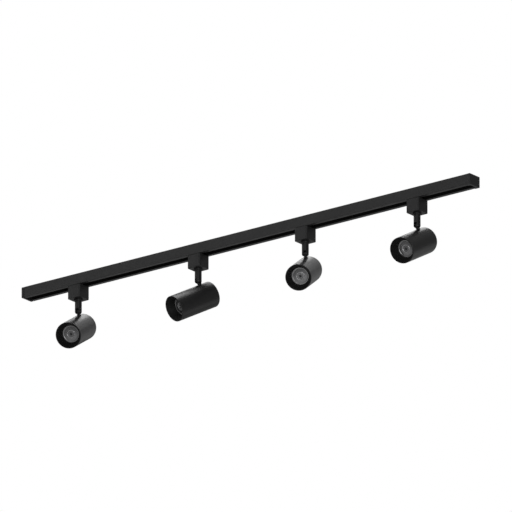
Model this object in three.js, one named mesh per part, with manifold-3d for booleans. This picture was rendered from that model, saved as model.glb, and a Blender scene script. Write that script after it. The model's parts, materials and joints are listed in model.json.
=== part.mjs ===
// Four-head ceiling track light: a straight extruded track, two end caps and
// four cylinder spot heads on twist-lock adapters.
//
// Units are millimetres. X runs along the track, -Y is the front and +Z is up.
// The origin is the middle of the track's top face, which sits on the ceiling.

import * as THREE from "three";
import { mergeVertices } from "three/addons/utils/BufferGeometryUtils.js";
import Module from "manifold-3d";

const wasm = await Module();
wasm.setup();

// ---------------------------------------------------------------- driving sizes

const GAP = 0.3; // running gap between neighbouring pieces
const THROUGH = 1; // how far a cutting tool runs past the faces it opens

// Track
const OVERALL_LENGTH = 1219.2; // 4 ft over both end caps
const TRACK_WIDTH = 34;
const TRACK_HEIGHT = 23.8;
const TRACK_WALL = 1.6; // side walls and lips
const TRACK_WEB = 2; // top wall
const LIP_WIDTH = 8.25; // each lip beside the slot, from the track's side
const SCREW_HOLE_RADIUS = 2.25;
const SCREW_HOLE_PITCH = 300;
const SCREW_HOLE_COUNT = 4;
const FEED_HOLE_RADIUS = 6;
const FEED_HOLE_INSET = 27; // from the live end of the track

// Insulators and conductors
const INSULATOR_DEPTH = 4;
const GROOVE_DEPTH = 2.5;
const CONDUCTOR_Z = -13;
const CONDUCTOR_HEIGHT = 3.2;
const CONDUCTOR_THICKNESS = 1.6;

// End caps
const LIVE_CAP_LENGTH = 11;
const LIVE_CAP_PROUD = 0.7; // how far it stands out at front, back and below
const DEAD_CAP_LENGTH = 8.2;
const DEAD_CAP_SEAM = 2; // length of the sunk band next to the track
const DEAD_CAP_SEAM_DEPTH = 1;
const CAP_END_WALL = 5;
const CAP_PEG_LENGTH = 12;
const CAP_PEG_CLEARANCE = 4.1; // from the peg's sides to the insulators
const CAP_PEG_HEIGHT = 6;
const CAP_PEG_Z = -6;

// Feed terminal block
const BLOCK_LENGTH = 28;
const BLOCK_SIDE_CLEARANCE = 2.1; // from the block's sides to the insulators
const BLOCK_HEIGHT = 11;
const BLOCK_DROP = 2; // room for the wires between the web and the block
const BLOCK_INSET = 13; // from the live end of the track
const BLADE_LENGTH = 12;
const BLADE_THICKNESS = 1;

// Adapter
const ADAPTER_LENGTH = 34.4;
const ADAPTER_HEIGHT = 29.1;
const ADAPTER_CORNER_RADIUS = 4;
const ADAPTER_WALL = 2.2;
const CAVITY_CORNER_RADIUS = 1.6;
const ADAPTER_FLOOR = 3;
const PLUG_BASE_HEIGHT = 7.6;
const PLUG_TOP_Z = -5;
const PLUG_WING_LENGTH = 10;
const PLUG_WING_HEIGHT = 2.5;
const PLUG_SLOT_CLEARANCE = 0.4;
const CONTACT_WIDTH = 6;
const CONTACT_THICKNESS = 1;
const CONTACT_SEAT = 2.85; // how deep a contact's upright sits inside the plug's neck
const CONTACT_TAIL = 4; // length of a contact's upright below the plug

// Lock tab
const TAB_SLOT_CLEARANCE = 2.75; // from the tab's sides to the lips
const TAB_LENGTH = 10; // below the adapter's top
const TAB_ENGAGEMENT = 3.8; // how far the tab reaches into the track's slot
const TAB_TRAVEL = 4.2;
const TAB_FLANGE_THICKNESS = 1.4;
const TAB_FLANGE_OVERHANG = 1.6;
const TAB_GRIP_COUNT = 3;
const TAB_GRIP_PITCH = 2;
const TAB_GRIP_SIZE = 1;

// Stem and hinge
const STEM_DIAMETER = 15;
const STEM_END_RADIUS = 4; // rounding round the fork's lower edge
const STEM_BORE_RADIUS = 2.2;
const SPIGOT_RADIUS = 5;
const SPIGOT_FLANGE_RADIUS = 7.5;
const SPIGOT_FLANGE_HEIGHT = 2.5;
const COLLAR_OVERHANG = 2; // the collar's radius beyond the stem's
const COLLAR_HEIGHT = 3.5;
const COLLAR_CHAMFER = 0.8;
const PIVOT_DROP = 27.05; // from the adapter's bottom to the tilt axis
const FORK_BELOW_PIVOT = 5.25;
const TONGUE_THICKNESS = 6.2;
const TONGUE_WIDTH = 8;
const EYE_RADIUS = 4.5;
const EYE_CLEARANCE = 0.5;
const HINGE_SCREW_RADIUS = 1.8;
const HINGE_SCREW_HEAD_RADIUS = 2.9;
const HINGE_SCREW_HEAD_HEIGHT = 1.4;
const HINGE_SCREW_HEAD_SINK = 0.6; // below the stem's round surface
const HINGE_SCREW_END_SINK = 0.8;
const STEM_TO_HEAD_CLEARANCE = 0.5; // between stem and tube when a head points down
const FOOT_RADIUS = 4.6;
const FOOT_HEIGHT = 0.5;
const FOOT_TOP_RADIUS = 4.3;
const FOOT_SPIGOT_RADIUS = 2.5;
const FOOT_SPIGOT_LENGTH = 4; // inside the tube's wall

// Spot head
const HEAD_DIAMETER = 58;
const HEAD_LENGTH = 105;
const HEAD_REAR_OVERHANG = 17.3; // from the hinge foot to the rear end
const HEAD_WALL = 2;
const HEAD_EDGE_RADIUS = 1;
const FRONT_EDGE_RADIUS = 0.5;
const BULKHEAD_DEPTH = 42; // from the front rim to the bulkhead's front
const BULKHEAD_THICKNESS = 3;
const WIRE_HOLE_RADIUS = 3;
const WIRE_HOLE_INSET = 7; // from the tube's bore to the hole's middle
const REAR_CAP_THICKNESS = 2.5;
const REAR_CAP_SINK = 0.5;
const REAR_CAP_SKIRT_LENGTH = 5;
const REAR_CAP_SKIRT_WALL = 1.8;

// Optics
const LENS_APERTURE_RADIUS = 18.3;
const LENS_RECESS = 17.5; // from the front rim to the lens
const LENS_SEAT = 1.7; // how far the lens runs under the baffle's inner edge
const LENS_EDGE = 2.5;
const LENS_DOME = 0.8;
const LENS_BACK_RADIUS = 8;
const LENS_BODY_LENGTH = 13;
const BAFFLE_SINK = 1.2; // from the front rim to the baffle's outer edge
const BAFFLE_WALL = 1.2;
const BAFFLE_SKIRT_LENGTH = 5;
const LED_MODULE_RADIUS = 17;
const LED_MODULE_HEIGHT = 4;
const LED_CHIP_RADIUS = 6;
const LED_CHIP_HEIGHT = 0.8;

// Where each head stands on the track and which way it points. The heading is
// in degrees round +Z from +X, and the tilt is in degrees below horizontal.
const FIRST_HEAD_INSET = 143.6; // from the dead end
const LAST_HEAD_INSET = 155.1; // from the live end
const HEADS = [
  { x: -OVERALL_LENGTH / 2 + FIRST_HEAD_INSET, heading: -72.7, tilt: 28 },
  { x: -138, heading: -111.3, tilt: 28 },
  { x: 153, heading: -66.6, tilt: 28 },
  { x: OVERALL_LENGTH / 2 - LAST_HEAD_INSET, heading: -85.5, tilt: 28 },
];

// Facets round a full turn
const LARGE_SEGMENTS = 24;
const MEDIUM_SEGMENTS = 16;
const SMALL_SEGMENTS = 12;
const CORNER_SEGMENTS = 3;

// ---------------------------------------------------------------- derived sizes

const TRACK_LEFT = -OVERALL_LENGTH / 2 + DEAD_CAP_LENGTH;
const TRACK_RIGHT = OVERALL_LENGTH / 2 - LIVE_CAP_LENGTH;
const TRACK_HALF_WIDTH = TRACK_WIDTH / 2;
const SLOT_HALF_WIDTH = TRACK_HALF_WIDTH - LIP_WIDTH;
const INNER_HALF_WIDTH = TRACK_HALF_WIDTH - TRACK_WALL;
const LIP_TOP_Z = -TRACK_HEIGHT + TRACK_WALL;

const INSULATOR_BACK_Y = INNER_HALF_WIDTH - GAP;
const INSULATOR_FACE_Y = INSULATOR_BACK_Y - INSULATOR_DEPTH;
const GROOVE_BOTTOM_Y = INSULATOR_FACE_Y + GROOVE_DEPTH;
const CONDUCTOR_BACK_Y = GROOVE_BOTTOM_Y - GAP;
const CONDUCTOR_FACE_Y = CONDUCTOR_BACK_Y - CONDUCTOR_THICKNESS;
const CONTACT_TIP_Y = CONDUCTOR_FACE_Y - GAP;
const CAP_PEG_HALF_WIDTH = INSULATOR_FACE_Y - CAP_PEG_CLEARANCE;
const BLOCK_HALF_WIDTH = INSULATOR_FACE_Y - BLOCK_SIDE_CLEARANCE;

const ADAPTER_TOP_Z = -TRACK_HEIGHT - GAP;
const ADAPTER_BOTTOM_Z = ADAPTER_TOP_Z - ADAPTER_HEIGHT;
const ADAPTER_HALF_LENGTH = ADAPTER_LENGTH / 2;
const CAVITY_HALF_LENGTH = ADAPTER_HALF_LENGTH - ADAPTER_WALL;
const CAVITY_HALF_WIDTH = TRACK_HALF_WIDTH - ADAPTER_WALL;
const PLUG_BASE_TOP_Z = ADAPTER_TOP_Z - GAP;
const PLUG_BASE_BOTTOM_Z = PLUG_BASE_TOP_Z - PLUG_BASE_HEIGHT;
const PLUG_NECK_RADIUS = SLOT_HALF_WIDTH - PLUG_SLOT_CLEARANCE;
const TAB_FLANGE_OUTER_X = -CAVITY_HALF_LENGTH + GAP;
const TAB_FLANGE_INNER_X = TAB_FLANGE_OUTER_X + TAB_FLANGE_THICKNESS;
const TAB_BOTTOM_Z = ADAPTER_TOP_Z - TAB_LENGTH;
const TAB_HALF_WIDTH = SLOT_HALF_WIDTH - TAB_SLOT_CLEARANCE;
const CONTACT_UPRIGHT_Y = PLUG_NECK_RADIUS - CONTACT_SEAT;
const CONTACT_BOTTOM_Z = PLUG_BASE_BOTTOM_Z - CONTACT_TAIL;

const STEM_RADIUS = STEM_DIAMETER / 2;
const PIVOT_Z = ADAPTER_BOTTOM_Z - PIVOT_DROP;
const FORK_SLOT_WIDTH = TONGUE_THICKNESS + 2 * GAP;
const HEAD_RADIUS = HEAD_DIAMETER / 2;
const HEAD_BORE_RADIUS = HEAD_RADIUS - HEAD_WALL;
const PIVOT_TO_TUBE = STEM_RADIUS + STEM_TO_HEAD_CLEARANCE;
const PIVOT_TO_AXIS = HEAD_RADIUS + PIVOT_TO_TUBE;
const HEAD_REAR_X = -HEAD_REAR_OVERHANG;
const HEAD_FRONT_X = HEAD_REAR_X + HEAD_LENGTH;
const FIT_RADIUS = HEAD_BORE_RADIUS - GAP; // outside of what seats in the tube
const WIRE_HOLE_Z = -PIVOT_TO_AXIS + HEAD_BORE_RADIUS - WIRE_HOLE_INSET;

// ---------------------------------------------------------------- finishes

const finish = (color, roughness, metalness) => () =>
  new THREE.MeshStandardMaterial({ color, roughness, metalness });

const blackPowderCoat = finish(0x1b1b1c, 0.55, 0.2);
const blackPlastic = finish(0x19191a, 0.6, 0);
const deepBlackPlastic = finish(0x0a0a0a, 0.75, 0);
const insulatorPlastic = finish(0x101010, 0.7, 0);
const copper = finish(0xb87348, 0.35, 1);
const blackSteel = finish(0x202020, 0.4, 0.8);
const lensPlastic = finish(0x8d9094, 0.15, 0);
const ceramicBoard = finish(0xd9d6cc, 0.6, 0);

// ---------------------------------------------------------------- solid helpers

/** A three.js geometry as a manifold solid. */
function solidOf(geometry) {
  const bare = geometry.clone();
  bare.deleteAttribute("normal");
  bare.deleteAttribute("uv");
  const merged = mergeVertices(bare);
  return new wasm.Manifold(new wasm.Mesh({
    numProp: 3,
    vertProperties: new Float32Array(merged.attributes.position.array),
    triVerts: new Uint32Array(merged.index.array),
  }));
}

/** A manifold solid as a three.js geometry. */
function geometryOf(solid) {
  const mesh = solid.getMesh();
  const geometry = new THREE.BufferGeometry();
  geometry.setAttribute("position", new THREE.BufferAttribute(mesh.vertProperties, 3));
  geometry.setIndex(new THREE.BufferAttribute(mesh.triVerts, 1));
  geometry.computeVertexNormals();
  return geometry;
}

/** All the geometries joined into one body. */
function join(first, ...others) {
  let solid = solidOf(first);
  for (const other of others) solid = solid.add(solidOf(other));
  return geometryOf(solid);
}

/** The first geometry with every other one taken out of it. */
function cut(first, ...tools) {
  let solid = solidOf(first);
  for (const tool of tools) solid = solid.subtract(solidOf(tool));
  return geometryOf(solid);
}

/** What the two geometries have in common. */
function common(first, second) {
  return geometryOf(solidOf(first).intersect(solidOf(second)));
}

/** A box between two corners. */
function block(x0, x1, y0, y1, z0, z1) {
  const box = new THREE.BoxGeometry(x1 - x0, y1 - y0, z1 - z0);
  return box.translate((x0 + x1) / 2, (y0 + y1) / 2, (z0 + z1) / 2);
}

/** A round bar of one radius along Z, at (x, y). */
function barZ(radius, z0, z1, segments, x = 0, y = 0) {
  const bar = new THREE.CylinderGeometry(radius, radius, z1 - z0, segments);
  return bar.rotateX(Math.PI / 2).translate(x, y, (z0 + z1) / 2);
}

/** A round bar of one radius along Y, centred on the Y axis. */
function barY(radius, y0, y1, segments) {
  const bar = new THREE.CylinderGeometry(radius, radius, y1 - y0, segments);
  return bar.translate(0, (y0 + y1) / 2, 0);
}

/** A profile of [radius, height] points turned round Z, in order up the outside. */
function turnedZ(profile, segments) {
  const points = profile.map(([radius, height]) => new THREE.Vector2(radius, height));
  return new THREE.LatheGeometry(points, segments).rotateX(Math.PI / 2);
}

/** A profile of [radius, x] points turned round X, in order forward along the outside. */
function turnedX(profile, segments) {
  const points = profile.map(([radius, x]) => new THREE.Vector2(radius, x));
  return new THREE.LatheGeometry(points, segments).rotateZ(-Math.PI / 2);
}

/** A [y, z] outline carried along X. */
function extrudedX(outline, x0, x1) {
  const shape = new THREE.Shape(outline.map(([y, z]) => new THREE.Vector2(y, z)));
  const bar = new THREE.ExtrudeGeometry(shape, { depth: x1 - x0, bevelEnabled: false });
  return bar.rotateX(Math.PI / 2).rotateZ(Math.PI / 2).translate(x0, 0, 0);
}

/** Points round a quarter circle, from one angle to another, in degrees. */
function arc(centre0, centre1, radius, fromDegrees, toDegrees) {
  return Array.from({ length: CORNER_SEGMENTS + 1 }, (_, step) => {
    const degrees = fromDegrees + ((toDegrees - fromDegrees) * step) / CORNER_SEGMENTS;
    const angle = THREE.MathUtils.degToRad(degrees);
    return [centre0 + radius * Math.cos(angle), centre1 + radius * Math.sin(angle)];
  });
}

/** A box with round upright edges, standing from z0 to z1. */
function roundedBlock(halfLength, halfWidth, cornerRadius, z0, z1) {
  const x = halfLength - cornerRadius;
  const y = halfWidth - cornerRadius;
  const outline = [
    ...arc(x, y, cornerRadius, 0, 90),
    ...arc(-x, y, cornerRadius, 90, 180),
    ...arc(-x, -y, cornerRadius, 180, 270),
    ...arc(x, -y, cornerRadius, 270, 360),
  ];
  const shape = new THREE.Shape(outline.map(([px, py]) => new THREE.Vector2(px, py)));
  const bar = new THREE.ExtrudeGeometry(shape, { depth: z1 - z0, bevelEnabled: false });
  return bar.translate(0, 0, z0);
}

/** Adds a named piece to a group. */
function place(group, name, geometry, material) {
  const mesh = new THREE.Mesh(geometry, material());
  mesh.name = name;
  group.add(mesh);
}

// ---------------------------------------------------------------- track

/** The aluminium channel: web, two sides and two lips round a slot that opens down. */
function trackChannel() {
  const outline = [
    [-TRACK_HALF_WIDTH, 0],
    [-TRACK_HALF_WIDTH, -TRACK_HEIGHT],
    [-SLOT_HALF_WIDTH, -TRACK_HEIGHT],
    [-SLOT_HALF_WIDTH, LIP_TOP_Z],
    [-INNER_HALF_WIDTH, LIP_TOP_Z],
    [-INNER_HALF_WIDTH, -TRACK_WEB],
    [INNER_HALF_WIDTH, -TRACK_WEB],
    [INNER_HALF_WIDTH, LIP_TOP_Z],
    [SLOT_HALF_WIDTH, LIP_TOP_Z],
    [SLOT_HALF_WIDTH, -TRACK_HEIGHT],
    [TRACK_HALF_WIDTH, -TRACK_HEIGHT],
    [TRACK_HALF_WIDTH, 0],
  ];
  const holeBottom = -TRACK_WEB - THROUGH;
  const feedX = TRACK_RIGHT - FEED_HOLE_INSET;
  const holes = [barZ(FEED_HOLE_RADIUS, holeBottom, THROUGH, MEDIUM_SEGMENTS, feedX)];
  for (let index = 0; index < SCREW_HOLE_COUNT; index += 1) {
    const x = (index - (SCREW_HOLE_COUNT - 1) / 2) * SCREW_HOLE_PITCH;
    holes.push(barZ(SCREW_HOLE_RADIUS, holeBottom, THROUGH, SMALL_SEGMENTS, x));
  }
  return cut(extrudedX(outline, TRACK_LEFT, TRACK_RIGHT), ...holes);
}

/** One insulator, grooved on its inner face; side is -1 for the front, 1 for the rear. */
function insulator(side) {
  const top = -TRACK_WEB - GAP;
  const bottom = LIP_TOP_Z + GAP;
  const grooveTop = CONDUCTOR_Z + CONDUCTOR_HEIGHT / 2 + GAP;
  const grooveBottom = CONDUCTOR_Z - CONDUCTOR_HEIGHT / 2 - GAP;
  const outline = [
    [INSULATOR_BACK_Y, top],
    [INSULATOR_FACE_Y, top],
    [INSULATOR_FACE_Y, grooveTop],
    [GROOVE_BOTTOM_Y, grooveTop],
    [GROOVE_BOTTOM_Y, grooveBottom],
    [INSULATOR_FACE_Y, grooveBottom],
    [INSULATOR_FACE_Y, bottom],
    [INSULATOR_BACK_Y, bottom],
  ];
  const sided = outline.map(([y, z]) => [side * y, z]);
  return extrudedX(sided, TRACK_LEFT, TRACK_RIGHT);
}

/** One copper strip in an insulator's groove. */
function conductor(side) {
  const near = side * CONDUCTOR_FACE_Y;
  const far = side * CONDUCTOR_BACK_Y;
  const z0 = CONDUCTOR_Z - CONDUCTOR_HEIGHT / 2;
  const y0 = Math.min(near, far);
  return block(TRACK_LEFT, TRACK_RIGHT, y0, Math.max(near, far), z0, z0 + CONDUCTOR_HEIGHT);
}

/**
 * An end cap for the +X end, its inner face at x = 0: an end wall, a short
 * channel that carries the slot on, an optional sunk band and a peg.
 */
function endCap(length, proud, seam, seamDepth) {
  const halfWidth = TRACK_HALF_WIDTH + proud;
  const bottom = -TRACK_HEIGHT - proud;
  const shell = block(GAP, length, -halfWidth, halfWidth, bottom, 0);
  const tools = [block(0, length - CAP_END_WALL, -SLOT_HALF_WIDTH, SLOT_HALF_WIDTH,
    bottom - THROUGH, CAP_PEG_Z - CAP_PEG_HEIGHT / 2 - GAP)];
  if (seam > 0) {
    const core = block(0, seam + GAP, -halfWidth + seamDepth, halfWidth - seamDepth,
      bottom + seamDepth, -seamDepth);
    const band = block(0, seam + GAP, -halfWidth - THROUGH, halfWidth + THROUGH,
      bottom - THROUGH, THROUGH);
    tools.push(cut(band, core));
  }
  const pegBottom = CAP_PEG_Z - CAP_PEG_HEIGHT / 2;
  const peg = block(-CAP_PEG_LENGTH, length - CAP_END_WALL, -CAP_PEG_HALF_WIDTH,
    CAP_PEG_HALF_WIDTH, pegBottom, pegBottom + CAP_PEG_HEIGHT);
  return join(cut(shell, ...tools), peg);
}

/** The feed block between the insulators, with its two blades towards the conductors. */
function terminalBlock() {
  const x1 = TRACK_RIGHT - BLOCK_INSET;
  const x0 = x1 - BLOCK_LENGTH;
  const top = -TRACK_WEB - BLOCK_DROP;
  const body = block(x0, x1, -BLOCK_HALF_WIDTH, BLOCK_HALF_WIDTH, top - BLOCK_HEIGHT, top);
  const bladeX0 = (x0 + x1 - BLADE_LENGTH) / 2;
  const bladeZ0 = CONDUCTOR_Z - BLADE_THICKNESS / 2;
  const blades = block(bladeX0, bladeX0 + BLADE_LENGTH, -CONTACT_TIP_Y, CONTACT_TIP_Y,
    bladeZ0, bladeZ0 + BLADE_THICKNESS);
  return join(body, blades);
}

// ---------------------------------------------------------------- adapter

/** The adapter's outer shell: open above, with the stem's hole and the tab's window. */
function adapterHousing() {
  const outer = roundedBlock(ADAPTER_HALF_LENGTH, TRACK_HALF_WIDTH, ADAPTER_CORNER_RADIUS,
    ADAPTER_BOTTOM_Z, ADAPTER_TOP_Z);
  const cavity = roundedBlock(CAVITY_HALF_LENGTH, CAVITY_HALF_WIDTH, CAVITY_CORNER_RADIUS,
    ADAPTER_BOTTOM_Z + ADAPTER_FLOOR, ADAPTER_TOP_Z + THROUGH);
  const stemHole = barZ(SPIGOT_RADIUS + GAP, ADAPTER_BOTTOM_Z - THROUGH,
    ADAPTER_BOTTOM_Z + ADAPTER_FLOOR + THROUGH, MEDIUM_SEGMENTS);
  const halfWindow = TAB_HALF_WIDTH + GAP;
  const window = block(-ADAPTER_HALF_LENGTH - THROUGH, -CAVITY_HALF_LENGTH + THROUGH,
    -halfWindow, halfWindow, TAB_BOTTOM_Z - TAB_TRAVEL - GAP, ADAPTER_TOP_Z + THROUGH);
  return cut(outer, cavity, stemHole, window);
}

/** One contact: an upright in the plug and a tongue that reaches its conductor. */
function contact(side, clearance = 0) {
  const halfWidth = CONTACT_WIDTH / 2 + clearance;
  const innerY = CONTACT_UPRIGHT_Y - clearance;
  const outerY = CONTACT_UPRIGHT_Y + CONTACT_THICKNESS + clearance;
  const tipY = CONTACT_TIP_Y + clearance;
  const topZ = CONDUCTOR_Z + CONTACT_THICKNESS / 2 + clearance;
  const underZ = CONDUCTOR_Z - CONTACT_THICKNESS / 2 - clearance;
  const bottomZ = CONTACT_BOTTOM_Z - clearance;
  const outline = [
    [innerY, topZ],
    [innerY, bottomZ],
    [outerY, bottomZ],
    [outerY, underZ],
    [tipY, underZ],
    [tipY, topZ],
  ];
  return extrudedX(outline.map(([y, z]) => [side * y, z]), -halfWidth, halfWidth);
}

/** The twist-lock plug: a base in the housing, a round neck and two wings on the lips. */
function adapterPlug() {
  const baseX0 = TAB_FLANGE_INNER_X + GAP;
  const baseX1 = CAVITY_HALF_LENGTH - GAP;
  const base = roundedBlock((baseX1 - baseX0) / 2, CAVITY_HALF_WIDTH - GAP,
    CAVITY_CORNER_RADIUS, PLUG_BASE_BOTTOM_Z, PLUG_BASE_TOP_Z);
  base.translate((baseX0 + baseX1) / 2, 0, 0);
  const neck = barZ(PLUG_NECK_RADIUS, PLUG_BASE_BOTTOM_Z, PLUG_TOP_Z, MEDIUM_SEGMENTS);
  const wingZ0 = LIP_TOP_Z + GAP;
  const wingZ1 = wingZ0 + PLUG_WING_HEIGHT;
  const wingDisc = barZ(INSULATOR_FACE_Y - GAP, wingZ0, wingZ1, MEDIUM_SEGMENTS);
  const halfWing = PLUG_WING_LENGTH / 2;
  const wings = common(wingDisc, block(-halfWing, halfWing, -TRACK_WIDTH, TRACK_WIDTH,
    wingZ0 - THROUGH, wingZ1 + THROUGH));
  return cut(join(base, neck, wings), contact(-1, GAP), contact(1, GAP));
}

/** The lock tab: a ribbed plate in the housing's window, kept in by a flange behind. */
function lockTab() {
  const outerX = -ADAPTER_HALF_LENGTH;
  const topZ = -TRACK_HEIGHT + TAB_ENGAGEMENT;
  const plate = block(outerX, TAB_FLANGE_INNER_X, -TAB_HALF_WIDTH, TAB_HALF_WIDTH,
    TAB_BOTTOM_Z, topZ);
  const halfFlange = TAB_HALF_WIDTH + TAB_FLANGE_OVERHANG;
  const flange = block(TAB_FLANGE_OUTER_X, TAB_FLANGE_INNER_X, -halfFlange, halfFlange,
    TAB_BOTTOM_Z, ADAPTER_TOP_Z - GAP);
  const grooves = Array.from({ length: TAB_GRIP_COUNT }, (_, index) => {
    const z0 = TAB_BOTTOM_Z + TAB_GRIP_SIZE + index * TAB_GRIP_PITCH;
    return block(outerX - THROUGH, outerX + TAB_GRIP_SIZE, -TAB_HALF_WIDTH - THROUGH,
      TAB_HALF_WIDTH + THROUGH, z0, z0 + TAB_GRIP_SIZE);
  });
  return cut(join(plate, flange), ...grooves);
}

// ---------------------------------------------------------------- stem and hinge

/** The stem: a spigot in the adapter, a collar and a round rod that ends in a fork. */
function stem() {
  const floorTop = ADAPTER_BOTTOM_Z + ADAPTER_FLOOR;
  const flangeBottom = floorTop + GAP;
  const flangeTop = flangeBottom + SPIGOT_FLANGE_HEIGHT;
  const collarTop = ADAPTER_BOTTOM_Z - GAP;
  const collarBottom = collarTop - COLLAR_HEIGHT;
  const collarRadius = STEM_RADIUS + COLLAR_OVERHANG;
  const forkBottom = PIVOT_Z - FORK_BELOW_PIVOT;
  const endCentre = forkBottom + STEM_END_RADIUS;
  const profile = [
    [STEM_BORE_RADIUS, forkBottom],
    ...arc(STEM_RADIUS - STEM_END_RADIUS, endCentre, STEM_END_RADIUS, -90, 0),
    [STEM_RADIUS, collarBottom],
    [collarRadius - COLLAR_CHAMFER, collarBottom],
    [collarRadius, collarBottom + COLLAR_CHAMFER],
    [collarRadius, collarTop],
    [SPIGOT_RADIUS, collarTop],
    [SPIGOT_RADIUS, flangeBottom],
    [SPIGOT_FLANGE_RADIUS, flangeBottom],
    [SPIGOT_FLANGE_RADIUS, flangeTop],
    [STEM_BORE_RADIUS, flangeTop],
    [STEM_BORE_RADIUS, forkBottom],
  ];
  const slotTop = PIVOT_Z + EYE_RADIUS + EYE_CLEARANCE;
  const halfSlot = FORK_SLOT_WIDTH / 2;
  const slot = block(-STEM_DIAMETER, STEM_DIAMETER, -halfSlot, halfSlot,
    forkBottom - THROUGH, slotTop);
  const headSeatY = STEM_RADIUS - HINGE_SCREW_HEAD_SINK - HINGE_SCREW_HEAD_HEIGHT - GAP;
  const screwHole = barY(HINGE_SCREW_RADIUS + GAP, -STEM_DIAMETER, STEM_DIAMETER,
    SMALL_SEGMENTS).translate(0, 0, PIVOT_Z);
  const headSeat = barY(HINGE_SCREW_HEAD_RADIUS + GAP, headSeatY, STEM_DIAMETER,
    SMALL_SEGMENTS).translate(0, 0, PIVOT_Z);
  return cut(turnedZ(profile, MEDIUM_SEGMENTS), slot, screwHole, headSeat);
}

/** The screw across the fork, with its head on the +Y side and the axis at the origin. */
function hingeScrew() {
  const headTop = STEM_RADIUS - HINGE_SCREW_HEAD_SINK;
  const headBottom = headTop - HINGE_SCREW_HEAD_HEIGHT;
  const end = -STEM_RADIUS + HINGE_SCREW_END_SINK;
  const head = barY(HINGE_SCREW_HEAD_RADIUS, headBottom, headTop, SMALL_SEGMENTS);
  return join(head, barY(HINGE_SCREW_RADIUS, end, headTop - GAP, SMALL_SEGMENTS));
}

/**
 * The hinge arm, with the tilt axis at the origin: an eye in the fork, a neck
 * down to the tube, a flared foot that follows the tube and a spigot inside it.
 */
function hingeArm() {
  const halfThickness = TONGUE_THICKNESS / 2;
  const halfWidth = TONGUE_WIDTH / 2;
  const footTop = -PIVOT_TO_TUBE + GAP + FOOT_HEIGHT;
  const footReach = -PIVOT_TO_TUBE - HEAD_WALL; // below the tube's crown, before trimming
  const eye = barY(EYE_RADIUS, -halfThickness, halfThickness, MEDIUM_SEGMENTS);
  const neck = block(-halfWidth, halfWidth, -halfThickness, halfThickness, footReach, 0);
  const foot = turnedZ([
    [0, footReach],
    [FOOT_RADIUS, footReach],
    [FOOT_RADIUS, footTop - FOOT_HEIGHT / 2],
    [FOOT_TOP_RADIUS, footTop],
    [0, footTop],
  ], MEDIUM_SEGMENTS);
  const tube = turnedX([
    [0, -HEAD_LENGTH],
    [HEAD_RADIUS + GAP, -HEAD_LENGTH],
    [HEAD_RADIUS + GAP, HEAD_LENGTH],
    [0, HEAD_LENGTH],
  ], LARGE_SEGMENTS).translate(0, 0, -PIVOT_TO_AXIS);
  const spigotEnd = -PIVOT_TO_TUBE - HEAD_WALL - FOOT_SPIGOT_LENGTH;
  const spigot = barZ(FOOT_SPIGOT_RADIUS, spigotEnd, footTop - GAP, SMALL_SEGMENTS);
  const screwHole = barY(HINGE_SCREW_RADIUS + GAP, -STEM_DIAMETER, STEM_DIAMETER,
    SMALL_SEGMENTS);
  return cut(join(cut(join(neck, foot), tube), eye, spigot), screwHole);
}

// ---------------------------------------------------------------- spot head

/** The head's tube: thin rim, bulkhead across the middle and an open rear. */
function headTube() {
  const rear = HEAD_REAR_X;
  const front = HEAD_FRONT_X;
  const bulkheadFront = front - BULKHEAD_DEPTH;
  const bulkheadRear = bulkheadFront - BULKHEAD_THICKNESS;
  const shell = turnedX([
    [HEAD_BORE_RADIUS, rear],
    ...arc(HEAD_RADIUS - HEAD_EDGE_RADIUS, rear + HEAD_EDGE_RADIUS, HEAD_EDGE_RADIUS, -90, 0),
    [HEAD_RADIUS, front - FRONT_EDGE_RADIUS],
    [HEAD_RADIUS - FRONT_EDGE_RADIUS, front],
    [HEAD_BORE_RADIUS, front],
    [HEAD_BORE_RADIUS, bulkheadFront],
    [WIRE_HOLE_RADIUS, bulkheadFront],
    [WIRE_HOLE_RADIUS, bulkheadRear],
    [HEAD_BORE_RADIUS, bulkheadRear],
    [HEAD_BORE_RADIUS, rear],
  ], LARGE_SEGMENTS).translate(0, 0, -PIVOT_TO_AXIS);
  const wireHole = turnedX([
    [0, bulkheadRear - THROUGH],
    [WIRE_HOLE_RADIUS, bulkheadRear - THROUGH],
    [WIRE_HOLE_RADIUS, bulkheadFront + THROUGH],
    [0, bulkheadFront + THROUGH],
  ], SMALL_SEGMENTS).translate(0, 0, WIRE_HOLE_Z);
  const spigotHole = barZ(FOOT_SPIGOT_RADIUS + GAP, WIRE_HOLE_Z, -PIVOT_TO_TUBE + THROUGH,
    SMALL_SEGMENTS);
  return cut(shell, wireHole, spigotHole);
}

/** The rear cover: a sunk disc with a skirt inside the tube. */
function rearCap() {
  const outside = HEAD_REAR_X + REAR_CAP_SINK;
  const inside = outside + REAR_CAP_THICKNESS;
  const skirtEnd = inside + REAR_CAP_SKIRT_LENGTH;
  const skirtInner = FIT_RADIUS - REAR_CAP_SKIRT_WALL;
  return turnedX([
    [0, outside],
    [FIT_RADIUS, outside],
    [FIT_RADIUS, skirtEnd],
    [skirtInner, skirtEnd],
    [skirtInner, inside],
    [0, inside],
  ], LARGE_SEGMENTS).translate(0, 0, -PIVOT_TO_AXIS);
}

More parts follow.
